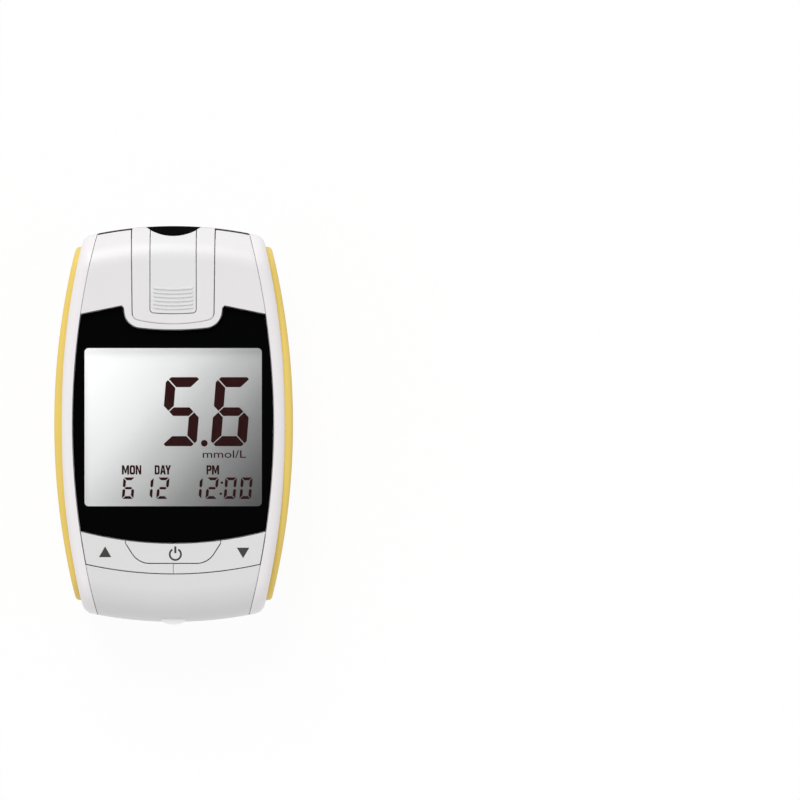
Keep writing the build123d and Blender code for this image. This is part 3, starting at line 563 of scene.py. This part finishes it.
# %% Breaking the edges
def plain_mesh(piece):
    """Replaces a piece's modifiers by the mesh that they make."""
    bpy.context.view_layer.update()
    shaped = piece.evaluated_get(bpy.context.evaluated_depsgraph_get())
    made = bpy.data.meshes.new_from_object(shaped)
    made.name = piece.name
    piece.modifiers.clear()
    piece.data = made
    return piece


def new_piece(name, mesh):
    """Object at the origin with its place in its mesh."""
    piece = bpy.data.objects.new(name, mesh)
    scene.collection.objects.link(piece)
    return piece


def with_broken_edges(node, radius_mm):
    """Copy of a CAD node with its outer edges rounded. It takes the node's place."""
    solid = merged_copy(node)
    mark_outer_edges(solid)
    mesh = bpy.data.meshes.new(node + "_moulding")
    solid.to_mesh(mesh)
    solid.free()
    for stale in ("custom_normal", "sharp_edge", "sharp_face"):
        if stale in mesh.attributes:
            mesh.attributes.remove(mesh.attributes[stale])
    mesh.shade_smooth()
    piece = new_piece(node + "_moulding", mesh)
    bevel = piece.modifiers.new("broken_edges", "BEVEL")
    bevel.width = radius_mm * MM
    bevel.segments = 3
    bevel.limit_method = "WEIGHT"
    bevel.use_clamp_overlap = False
    plain_mesh(piece)
    piece.data.set_sharp_from_angle(angle=CREASE)
    level = piece.modifiers.new("flat_faces_stay_flat", "WEIGHTED_NORMAL")
    level.keep_sharp = True
    plain_mesh(piece)
    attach(piece, nodes[node]["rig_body"])
    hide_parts(node)
    return piece


# %% Outer mouldings
def dress(piece, material):
    """Gives a piece one material."""
    piece.data.materials.clear()
    piece.data.materials.append(material)


MOULDINGS = {
    "front_housing": (white_abs, 0.12),
    "rear_housing": (white_abs, 0.12),
    "top_panel": (panel_abs, 0.10),
    "ejector_surround": (panel_abs, 0.10),
    "bottom_panel": (painted_shade_lower_abs, 0.10),
    "strip_port_bezel": (black_abs, 0.10),
    "key_up": (key_abs, 0.10),
    "key_power": (key_abs, 0.10),
    "key_down": (key_abs, 0.10),
    "ejector_slider": (slider_abs, 0.10),
    "battery_door": (white_abs, 0.12),
    "display_lens": (clear_acrylic, 0.06),
    "left_side_grip": (yellow_rubber, 0.20),
    "right_side_grip": (yellow_rubber, 0.20),
    "data_jack": (black_nylon, 0.08),
}
mouldings = {}
for node, (finish, radius) in MOULDINGS.items():
    mouldings[node] = with_broken_edges(node, radius)
    dress(mouldings[node], finish)
print("faces:", {n: len(p.data.polygons) for n, p in mouldings.items()})

# %% [markdown]
# Seen from the keys' end, the window would mirror the lamp and drown the figures. In a studio, a
# polarising filter on the lens is turned until such a mirror image is gone. Light linking does the
# same here: the lamp doesn't light the window's own surface, but it still lights all that lies
# behind it.

# %% Lamp kept off the window
unlit = bpy.data.collections.new("not_lit_by_lamp")
unlit.objects.link(mouldings["display_lens"])
lamp.light_linking.receiver_collection = unlit
unlit.collection_objects[0].light_linking.link_state = "EXCLUDE"

# %% [markdown]
# The hood over the data jack is a small lip on the bottom panel. Its faces get a lighter copy of the
# panel's plastic: painted light, which makes up for the shade that the panel's wall casts on the hood.

# %% Hood
HOOD_LOW = Vector((-2.97, -48.7, 19.88)) * MM
HOOD_HIGH = Vector((2.97, -46.2, 21.02)) * MM


def in_hood(spot):
    """Whether a place lies in the box around the hood."""
    return all(HOOD_LOW[i] < spot[i] < HOOD_HIGH[i] for i in range(3))


# Painted light: the same plastic as the panel, written lighter.
painted_light_hood_abs = moulded("hood_abs_painted_light", "#FBFBFA", 0.36, 0.30, 0.006)
bottom = mouldings["bottom_panel"].data
bottom.materials.append(painted_light_hood_abs)
hood_faces = [f for f in bottom.polygons if all(in_hood(bottom.vertices[v].co) for v in f.vertices)]
for face in hood_faces:
    face.material_index = 1
print("hood faces:", len(hood_faces))

# %% Inner pieces
INNER = {
    "lens_mask": border_ink,
    "lens_tape": foam,
    "lcd_panel": painted_light_panel_glass,
    "lcd_frame": white_nylon,
    "zebra_strips": layered_silicone,
    "main_pcb": board_green,
    "circuit_chips": chip_epoxy,
    "quartz_crystal": nickel_plate,
    "buzzer": nickel_plate,
    "key_switches": black_nylon,
    "strip_connector": black_nylon,
    "strip_contacts": gold_plate,
    "ejector_pusher": black_nylon,
    "battery_cell_left": left_sleeve,
    "battery_cell_right": right_sleeve,
    "contact_bridge": nickel_plate,
    "contact_negative": nickel_plate,
    "contact_positive": nickel_plate,
    "battery_springs": nickel_plate,
    "housing_screws": screw_zinc,
}
for node, finish in INNER.items():
    dress(nodes[node], finish)
left_out = set(nodes) - set(INNER) - set(MOULDINGS) - {"ejector_springs"}
print("pieces without a finish:", left_out or "none")

# %% [markdown]
# The ejector's two coil springs get shorter as the slider pushes on them. Their copy takes the
# springs' place, rides on the meter's body and has a mesh of its own.

ejector_coils = new_piece("ejector_coils", nodes["ejector_springs"].data.copy())
dress(ejector_coils, spring_steel)
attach(ejector_coils, "meter")
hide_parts("ejector_springs")
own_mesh(ejector_coils)

# %% [markdown]
# ## Figures on the display
# A liquid crystal display draws a digit with seven bars, lettered a to f clockwise from the top, and
# g across the middle. The bars meet at 45 degree gaps, and the whole digit leans to the right. One
# function gives the outlines of the bars for any box, and each digit names the bars that are lit. In
# a real display the crystal between the glasses darkens. Here the lit bars are plates of 0.02 mm on
# top of the panel.

# %% Plates from outlines
FIGURE_T = 0.02


def add_plate(plates, outline, base_mm, thick_mm):
    """Adds a flat plate with the given outline, in mm and anticlockwise, to an editable mesh."""
    low = [plates.verts.new((x * MM, y * MM, base_mm * MM)) for x, y in outline]
    high = [plates.verts.new((x * MM, y * MM, (base_mm + thick_mm) * MM)) for x, y in outline]
    plates.faces.new(high)
    plates.faces.new(low[::-1])
    for i in range(len(outline)):
        j = (i + 1) % len(outline)
        plates.faces.new((low[i], low[j], high[j], high[i]))


def plates_piece(name, plates, material, body):
    """Makes a finished piece of an editable mesh."""
    bmesh.ops.recalc_face_normals(plates, faces=plates.faces)
    mesh = bpy.data.meshes.new(name)
    plates.to_mesh(mesh)
    plates.free()
    piece = new_piece(name, mesh)
    dress(piece, material)
    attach(piece, body)
    return piece


def arc(centre, radius, start, end, steps):
    """Points of an arc, with its angles in degrees."""
    angles = [math.radians(start + (end - start) * i / steps) for i in range(steps + 1)]
    return [(centre[0] + radius * math.cos(a), centre[1] + radius * math.sin(a)) for a in angles]


print("figures stand on the glass at z in mm:", round(panel_high.z / MM, 2))

# %% Seven bars
LEAN = 0.082
MIDDLE_BAR_HALF = 0.43
LIT = {"0": "abcdef", "1": "bc", "2": "abdeg", "5": "acdfg", "6": "acdefg"}
BIG_DIGIT = {"width": 8.68, "height": 16.7, "thick": 2.42, "gap": 0.26, "cut": 1.2}
BIG_LOW = -5.37
BIG_ROW = (("5", -3.08), ("6", 9.02))
SMALL_DIGIT = {"width": 2.82, "height": 5.2, "thick": 0.68, "gap": 0.20, "cut": 0.25}
SMALL_LOW = -18.15
SMALL_ROW = (
    ("6", -12.48),
    ("1", -7.95),
    ("2", -4.15),
    ("1", 3.93),
    ("2", 7.78),
    ("0", 12.19),
    ("0", 16.0),
)
DOTS = (((7.51, -4.67), 0.80), ((11.76, -14.22), 0.30), ((11.51, -16.89), 0.30))
DOT_ROUND = {"start": 0, "end": 350, "steps": 35}


def bars(width, height, thick, gap, cut):
    """Outlines of the seven bars of an upright digit whose lower left corner is at 0, 0."""
    slot = gap / math.sqrt(2)
    half = height / 2
    tip = (cut + slot) / 2, height - (cut - slot) / 2
    roof = [(cut, height), tip, (thick + slot, height - thick)]
    top = roof + [(width - x, y) for x, y in reversed(roof)]
    side = [
        (0, half + slot + thick / 2),
        (thick / 2, half + slot),
        (thick, half + slot + thick / 2),
        (thick, height - thick - slot),
        ((cut - slot) / 2, height - (cut + slot) / 2),
        (0, height - cut),
    ]
    thin = MIDDLE_BAR_HALF * thick
    point = thick / 2 + slot
    end = [(point + thin, half + thin), (point, half), (point + thin, half - thin)]
    return {
        "a": top,
        "b": [(width - x, y) for x, y in side],
        "c": [(width - x, height - y) for x, y in side],
        "d": [(x, height - y) for x, y in top],
        "e": [(x, height - y) for x, y in side],
        "f": side,
        "g": end + [(width - x, y) for x, y in reversed(end)],
    }


def add_digit(plates, figure, left, low, sizes):
    """Adds the lit bars of one leaning digit, in mm."""
    shapes = bars(**sizes)
    for letter in LIT[figure]:
        outline = [(left + x + LEAN * y, low + y) for x, y in shapes[letter]]
        add_plate(plates, outline, panel_high.z / MM, FIGURE_T)


digits = bmesh.new()
for figure, left in BIG_ROW:
    add_digit(digits, figure, left, BIG_LOW, BIG_DIGIT)
for figure, left in SMALL_ROW:
    add_digit(digits, figure, left, SMALL_LOW, SMALL_DIGIT)
for centre, radius in DOTS:
    add_plate(digits, arc(centre, radius, **DOT_ROUND), panel_high.z / MM, FIGURE_T)
display_digits = plates_piece("display_digits", digits, figure_ink, "meter")
print("figure faces:", len(display_digits.data.polygons))

# %% [markdown]
# The display also names its figures: month, day, half of the day and the unit of the result. Every
# meter of this kind carries such words. The bold ones are letters of a few straight cuts, drawn in a
# box of 1 by 1. A letter that is the same on both sides is given by its left half.

# %% Letters
ROUND_LEFT = [
    (0.5, 0),
    (0.22, 0),
    (0, 0.14),
    (0, 0.86),
    (0.22, 1),
    (0.5, 1),
    (0.5, 0.8),
    (0.4, 0.8),
    (0.34, 0.7),
    (0.34, 0.3),
    (0.4, 0.2),
    (0.5, 0.2),
]


def mirrored_shape(outline):
    """The same outline seen from its other side."""
    return [(1 - x, y) for x, y in reversed(outline)]


M_LEFT = [(0, 0), (0, 1), (0.3, 1), (0.5, 0.45), (0.5, 0.12), (0.42, 0.12), (0.26, 0.6), (0.26, 0)]
A_LEFT = [
    (0, 0),
    (0.3, 1),
    (0.5, 1),
    (0.5, 0.75),
    (0.43, 0.4),
    (0.5, 0.4),
    (0.5, 0.2),
    (0.38, 0.2),
    (0.33, 0),
]
Y_LEFT = [(0.33, 0), (0.33, 0.42), (0, 1), (0.35, 1), (0.5, 0.68), (0.5, 0)]
N_WHOLE = [
    (0, 0),
    (0, 1),
    (0.32, 1),
    (0.7, 0.4),
    (0.7, 1),
    (1, 1),
    (1, 0),
    (0.68, 0),
    (0.3, 0.6),
    (0.3, 0),
]
D_LEFT = [(0.5, 0), (0, 0), (0, 1), (0.5, 1), (0.5, 0.8), (0.34, 0.8), (0.34, 0.2), (0.5, 0.2)]
P_LEFT = [
    (0, 0),
    (0, 1),
    (0.5, 1),
    (0.5, 0.82),
    (0.34, 0.82),
    (0.34, 0.56),
    (0.5, 0.56),
    (0.5, 0.38),
    (0.34, 0.38),
    (0.34, 0),
]
P_RIGHT = [
    (0.5, 0.38),
    (0.5, 0.56),
    (0.66, 0.6),
    (0.66, 0.78),
    (0.5, 0.82),
    (0.5, 1),
    (0.8, 1),
    (1, 0.86),
    (1, 0.52),
    (0.8, 0.38),
]
LETTERS = {
    "M": (M_LEFT, mirrored_shape(M_LEFT)),
    "O": (ROUND_LEFT, mirrored_shape(ROUND_LEFT)),
    "A": (A_LEFT, mirrored_shape(A_LEFT)),
    "Y": (Y_LEFT, mirrored_shape(Y_LEFT)),
    "N": (N_WHOLE,),
    "D": (D_LEFT, mirrored_shape(ROUND_LEFT)),
    "P": (P_LEFT, P_RIGHT),
}
CAPTION_LOW = -12.24
CAPTION_HEIGHT = 2.24
CAPTIONS = (
    ("M", -12.45, 1.75),
    ("O", -10.55, 1.30),
    ("N", -9.10, 1.35),
    ("D", -4.50, 1.20),
    ("A", -3.20, 1.40),
    ("Y", -1.95, 1.40),
    ("P", 8.05, 1.20),
    ("M", 9.35, 1.75),
)

captions = bmesh.new()
for letter, left, width in CAPTIONS:
    for outline in LETTERS[letter]:
        shape = [(left + x * width, CAPTION_LOW + y * CAPTION_HEIGHT) for x, y in outline]
        add_plate(captions, shape, panel_high.z / MM, FIGURE_T)
display_captions = plates_piece("display_captions", captions, figure_ink, "meter")
print("caption faces:", len(display_captions.data.polygons))

# %% [markdown]
# The unit is thin type, so it is set in Blender's own plain typeface. A text object is made a mesh,
# and the mesh is stretched to its box.

# %% Unit of the result
UNIT_LOW = Vector((7.15, -8.22))
UNIT_HIGH = Vector((17.6, -6.37))
HALF_THICK = 0.5

curve = bpy.data.curves.new("unit", "FONT")
curve.body = "mmol/L"
curve.offset = 0.004
curve.resolution_u = 4
curve.extrude = HALF_THICK
holder = new_piece("display_unit", curve)
bpy.context.view_layer.update()
drawn = bpy.data.meshes.new_from_object(holder.evaluated_get(bpy.context.evaluated_depsgraph_get()))
bpy.data.objects.remove(holder)
spots = [v.co.copy() for v in drawn.vertices]
for axis in (0, 1):
    least = min(s[axis] for s in spots)
    most = max(s[axis] for s in spots)
    span = UNIT_HIGH[axis] - UNIT_LOW[axis]
    for vertex, spot in zip(drawn.vertices, spots):
        vertex.co[axis] = (UNIT_LOW[axis] + (spot[axis] - least) / (most - least) * span) * MM
for vertex, spot in zip(drawn.vertices, spots):
    vertex.co.z = panel_high.z + (spot.z + HALF_THICK) * FIGURE_T * MM
display_unit = new_piece("display_unit", drawn)
dress(display_unit, figure_ink)
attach(display_unit, "meter")
print("unit faces:", len(drawn.polygons))

# %% [markdown]
# ## Marks on the keys
# The keys carry the plain signs for up, down and power. They are pad printed, so each is a plate of
# 0.02 mm on the key, and it rides on the key's own body.

# %% Key marks
KEY_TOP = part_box("key_power")[1].z / MM
PRINT_T = 0.02
UP_ARROW = [(-17.92, -32.22), (-14.96, -32.22), (-16.44, -29.62)]
DOWN_ARROW = [(16.94, -32.47), (18.44, -29.93), (15.44, -29.93)]
RING_MIDDLE = (0.55, -31.53)
RING_OUTER = 1.58
RING_INNER = 1.14
RING_ENDS = (121, 419)
RING_STEPS = 48
STROKE = [(0.30, -31.25), (0.80, -31.25), (0.80, -29.62), (0.30, -29.62)]

ring_start, ring_end = RING_ENDS
ring = arc(RING_MIDDLE, RING_OUTER, ring_start, ring_end, RING_STEPS)
ring += arc(RING_MIDDLE, RING_INNER, ring_end, ring_start, RING_STEPS)
for name, body, outlines in (
    ("up_mark", "key_up_body", [UP_ARROW]),
    ("down_mark", "key_down_body", [DOWN_ARROW]),
    ("power_mark", "key_power_body", [ring, STROKE]),
):
    mark = bmesh.new()
    for outline in outlines:
        add_plate(mark, outline, KEY_TOP, PRINT_T)
    plates_piece(name, mark, mark_ink, body)
print("key tops at z in mm:", round(KEY_TOP, 2))

# %% [markdown]
# ## Lips under the seams
# The pieces of the face lie side by side with a gap of 0.15 mm. A lip along a piece's edge stands
# out into the gap, just below the surface, so that the seam is a shallow groove and not a black
# slot. It doesn't reach the neighbour, so a key can still be pressed. It follows the sharp edge:
# each corner of the edge sets a cross-section of the lip, level with the faces that meet there. Three
# short tests pick the edges, by their place in mm and by how far their side face turns towards the
# neighbour, where 1 is straight at it.

# %% Seam lips
LIP_OUT = 0.13
LIP_IN = 0.03
LIP_T = 0.15
UPRIGHT = 0.3
RAIL_START = 12
TO_RAIL = 0.6
TO_DISPLAY = 0.5
SEAM_HALF_WIDTH = 1
TO_NEXT_KEY = 0.9


def seam_lip(name, node, depth_mm, wanted, material):
    """Lip along those upper edges of a node whose middle and side face are wanted."""
    solid = merged_copy(node)
    mark_outer_edges(solid)
    weight = solid.edges.layers.float["bevel_weight_edge"]
    chain = []
    around = {}
    for edge in solid.edges:
        if edge[weight] == 0:
            continue
        side, top = sorted(edge.link_faces, key=lambda face: abs(face.normal.z))
        middle = (edge.verts[0].co + edge.verts[1].co) / (2 * MM)
        if abs(side.normal.z) < UPRIGHT < top.normal.z and wanted(middle, side.normal):
            chain.append(edge)
            for corner in edge.verts:
                around.setdefault(corner, []).append((side.normal, top.normal))
    lip = bmesh.new()
    low_mm = depth_mm + LIP_T
    rim = [(-LIP_IN, depth_mm), (LIP_OUT, depth_mm), (LIP_OUT, low_mm), (-LIP_IN, low_mm)]
    sections = {}
    for corner, normals in around.items():
        out = sum((n[0] for n in normals), Vector()).normalized()
        up = sum((n[1] for n in normals), Vector()).normalized()
        spots = [corner.co + (out * reach - up * drop) * MM for reach, drop in rim]
        sections[corner] = [lip.verts.new(spot) for spot in spots]
        if len(normals) == 1:
            lip.faces.new(sections[corner])
    for edge in chain:
        near, far = (sections[corner] for corner in edge.verts)
        for i in range(4):
            j = (i + 1) % 4
            lip.faces.new((near[i], near[j], far[j], far[i]))
    solid.free()
    return plates_piece(name, lip, material, nodes[node]["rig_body"])


def beside_rail(middle, facing):
    """Whether an edge runs along one of the two side rails."""
    return abs(middle.x) > RAIL_START and abs(facing.x) > TO_RAIL and facing.x * middle.x > 0


def towards_display(middle, facing):
    """Whether an edge faces the display end."""
    return facing.y < -TO_DISPLAY


def between_keys(middle, facing):
    """Whether an edge faces the key on the other side of the short seam in the middle."""
    return abs(middle.x) < SEAM_HALF_WIDTH and facing.x > TO_NEXT_KEY


lips = [
    seam_lip("top_panel_lips", "top_panel", 0.04, beside_rail, panel_abs),
    seam_lip("bottom_panel_lips", "bottom_panel", 0.07, beside_rail, painted_shade_lower_abs),
    seam_lip("surround_lip", "ejector_surround", 0.08, towards_display, panel_abs),
    seam_lip("key_up_lip", "key_up", 0.04, between_keys, key_abs),
]
print("lip faces:", [len(lip.data.polygons) for lip in lips])

# %% [markdown]
# ## Rows and grids with Geometry Nodes
# What repeats is made by node trees, so that its count and spacing stay adjustable. Two helpers
# start a tree with named inputs and close it with Realize Instances and Set Material. A third runs a
# tree on an empty object, sets its inputs by their sockets' identifiers and keeps a plain mesh.


# %% Helpers for geometry trees
def geometry_tree(name, whole, sizes):
    """New geometry tree with whole-number inputs, size inputs and a material input."""
    tree = bpy.data.node_groups.new(name, "GeometryNodeTree")
    tree.interface.new_socket("Geometry", in_out="OUTPUT", socket_type="NodeSocketGeometry")
    for label in whole:
        tree.interface.new_socket(label, in_out="INPUT", socket_type="NodeSocketInt")
    for label in sizes:
        tree.interface.new_socket(label, in_out="INPUT", socket_type="NodeSocketFloat")
    tree.interface.new_socket("Material", in_out="INPUT", socket_type="NodeSocketMaterial")
    return tree, add(tree, "NodeGroupInput").outputs


def close_tree(tree, instances, material):
    """Realizes the instances, gives them the material and sends them out."""
    real = add(tree, "GeometryNodeRealizeInstances", {"Geometry": instances}).outputs[0]
    dressed = add(tree, "GeometryNodeSetMaterial", {"Geometry": real, "Material": material})
    add(tree, "NodeGroupOutput", {"Geometry": dressed.outputs[0]})


def grow(name, tree, values, body):
    """Runs a geometry tree and keeps its result as a plain mesh that rides on a body."""
    piece = new_piece(name, bpy.data.meshes.new(name))
    modifier = piece.modifiers.new(tree.name, "NODES")
    modifier.node_group = tree
    for socket in tree.interface.items_tree:
        if socket.in_out == "INPUT":
            modifier[socket.identifier] = values[socket.name]
    plain_mesh(piece)
    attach(piece, body)
    return piece


print("geometry helpers ready")

# %% [markdown]
# The battery door's latch tongue has raised ridges, so that a thumb holds on it. Each is a bar with
# a round back. The tree lays one bar and repeats it along a line.

# %% Ridges on the latch
RIDGE_SIZES = ["Pitch", "Length", "Width", "Height", "Start Y", "Face Z"]
tree, given = geometry_tree("finger_ridges", ["Count"], RIDGE_SIZES)
half_width = maths(tree, "MULTIPLY", given["Width"], 0.5)
lengths = {"X": given["Height"], "Y": half_width, "Z": given["Length"]}
stretch = add(tree, "ShaderNodeCombineXYZ", lengths)
bar = add(tree, "GeometryNodeMeshCylinder", {"Vertices": 20, "Radius": 1.0, "Depth": 1.0})
laying = {
    "Geometry": bar.outputs["Mesh"],
    "Rotation": (0.0, math.pi / 2, 0.0),
    "Scale": stretch.outputs[0],
}
laid = add(tree, "GeometryNodeTransform", laying)
start = add(tree, "ShaderNodeCombineXYZ", {"Y": given["Start Y"], "Z": given["Face Z"]})
step = add(tree, "ShaderNodeCombineXYZ", {"Y": given["Pitch"]})
line = add(
    tree,
    "GeometryNodeMeshLine",
    {"Count": given["Count"], "Start Location": start.outputs[0], "Offset": step.outputs[0]},
)
bars_in_row = {"Points": line.outputs[0], "Instance": laid.outputs[0]}
row = add(tree, "GeometryNodeInstanceOnPoints", bars_in_row)
close_tree(tree, row.outputs[0], given["Material"])

door_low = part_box("battery_door")[0]
ridge_sizes = {
    "Count": 4,
    "Pitch": 0.95 * MM,
    "Length": 7.4 * MM,
    "Width": 0.5 * MM,
    "Height": 0.12 * MM,
    "Start Y": door_low.y + 3.4 * MM,
    "Face Z": door_low.z,
    "Material": white_abs,
}
latch_ridges = grow("latch_ridges", tree, ridge_sizes, "door")
print("ridge faces:", len(latch_ridges.data.polygons))

# %% [markdown]
# A square chip package stands on rows of small bent legs, the same on all four sides. The tree
# bends one leg along a curve, repeats it in a row, and turns that row about the chip's middle in
# steps of a quarter turn.

# %% Legs of the processor
LEG_TOP = 0.8 * MM
LEG_FOOT = 0.07 * MM
LEG_THICK = 0.12 * MM
LEG_SIZES = ["Pitch", "Half Side", "Leg Width", "Middle X", "Middle Y", "Board Z"]
tree, given = geometry_tree("gull_wing_legs", ["Count"], LEG_SIZES)
leg_path = {
    "Resolution": 8,
    "Start": (-0.2 * MM, 0.0, LEG_TOP),
    "Start Handle": (0.7 * MM, 0.0, LEG_TOP),
    "End Handle": (0.3 * MM, 0.0, LEG_FOOT),
    "End": (1.1 * MM, 0.0, LEG_FOOT),
}
path = add(tree, "GeometryNodeCurvePrimitiveBezierSegment", leg_path)
leg_section = {"Width": given["Leg Width"], "Height": LEG_THICK}
section = add(tree, "GeometryNodeCurvePrimitiveQuadrilateral", leg_section)
leg = add(
    tree,
    "GeometryNodeCurveToMesh",
    {"Curve": path.outputs[0], "Profile Curve": section.outputs[0], "Fill Caps": True},
)
whole_row = maths(tree, "MULTIPLY", maths(tree, "ADD", given["Count"], -1.0), given["Pitch"])
first_y = maths(tree, "MULTIPLY", whole_row, -0.5)
row_start = add(tree, "ShaderNodeCombineXYZ", {"X": given["Half Side"], "Y": first_y})
row_step = add(tree, "ShaderNodeCombineXYZ", {"Y": given["Pitch"]})
row_line = add(
    tree,
    "GeometryNodeMeshLine",
    {"Count": given["Count"], "Start Location": row_start.outputs[0], "Offset": row_step.outputs[0]},
)
legs = {"Points": row_line.outputs[0], "Instance": leg.outputs[0]}
side_row = add(tree, "GeometryNodeInstanceOnPoints", legs)
chip_middle = {"X": given["Middle X"], "Y": given["Middle Y"], "Z": given["Board Z"]}
middle = add(tree, "ShaderNodeCombineXYZ", chip_middle)
on_one_spot = {"Count": 4, "Start Location": middle.outputs[0], "Offset": (0, 0, 0)}
four = add(tree, "GeometryNodeMeshLine", on_one_spot)
index = add(tree, "GeometryNodeInputIndex").outputs[0]
turn = maths(tree, "MULTIPLY", index, math.pi / 2)
turned = add(tree, "ShaderNodeCombineXYZ", {"Z": turn})
sides = add(
    tree,
    "GeometryNodeInstanceOnPoints",
    {"Points": four.outputs[0], "Instance": side_row.outputs[0], "Rotation": turned.outputs[0]},
)
close_tree(tree, sides.outputs[0], given["Material"])

leg_sizes = {
    "Count": 14,
    "Pitch": 0.65 * MM,
    "Half Side": 5.5 * MM,
    "Leg Width": 0.28 * MM,
    "Middle X": -7.4 * MM,
    "Middle Y": -0.775 * MM,
    "Board Z": board_high.z,
    "Material": tin_plate,
}
processor_legs = grow("processor_legs", tree, leg_sizes, "meter")
print("leg faces:", len(processor_legs.data.polygons))

# %% [markdown]
# The board carries a scatter of small round test pads. A grid of points gives their places, and a
# random choice with a fixed seed leaves most of them out, so that they don't look like a sieve.

# %% Test pads of the board
PAD_T = 0.06 * MM
PAD_COUNTS = ["Columns", "Rows", "Seed"]
PAD_SIZES = ["Width", "Length", "Radius", "Share Out"]
tree, given = geometry_tree("test_pads", PAD_COUNTS, PAD_SIZES)
grid_sizes = {
    "Size X": given["Width"],
    "Size Y": given["Length"],
    "Vertices X": given["Columns"],
    "Vertices Y": given["Rows"],
}
grid = add(tree, "GeometryNodeMeshGrid", grid_sizes)
raised = add(
    tree,
    "GeometryNodeTransform",
    {"Geometry": grid.outputs["Mesh"], "Translation": (0.0, 0.0, board_high.z)},
)
chance = add(
    tree,
    "FunctionNodeRandomValue",
    {"Probability": given["Share Out"], "Seed": given["Seed"]},
    data_type="BOOLEAN",
)
chosen = [o for o in chance.outputs if o.enabled][0]
kept = add(tree, "GeometryNodeDeleteGeometry", {"Geometry": raised.outputs[0], "Selection": chosen})
pad_disc = {"Vertices": 12, "Radius": given["Radius"], "Depth": PAD_T}
pad = add(tree, "GeometryNodeMeshCylinder", pad_disc)
discs = {"Points": kept.outputs[0], "Instance": pad.outputs["Mesh"]}
pads = add(tree, "GeometryNodeInstanceOnPoints", discs)
close_tree(tree, pads.outputs[0], given["Material"])

pad_sizes = {
    "Columns": 13,
    "Rows": 24,
    "Seed": 7,
    "Width": 36 * MM,
    "Length": 66 * MM,
    "Radius": 0.35 * MM,
    "Share Out": 0.72,
    "Material": tin_plate,
}
test_pads = grow("test_pads", tree, pad_sizes, "meter")
print("pad faces:", len(test_pads.data.polygons))
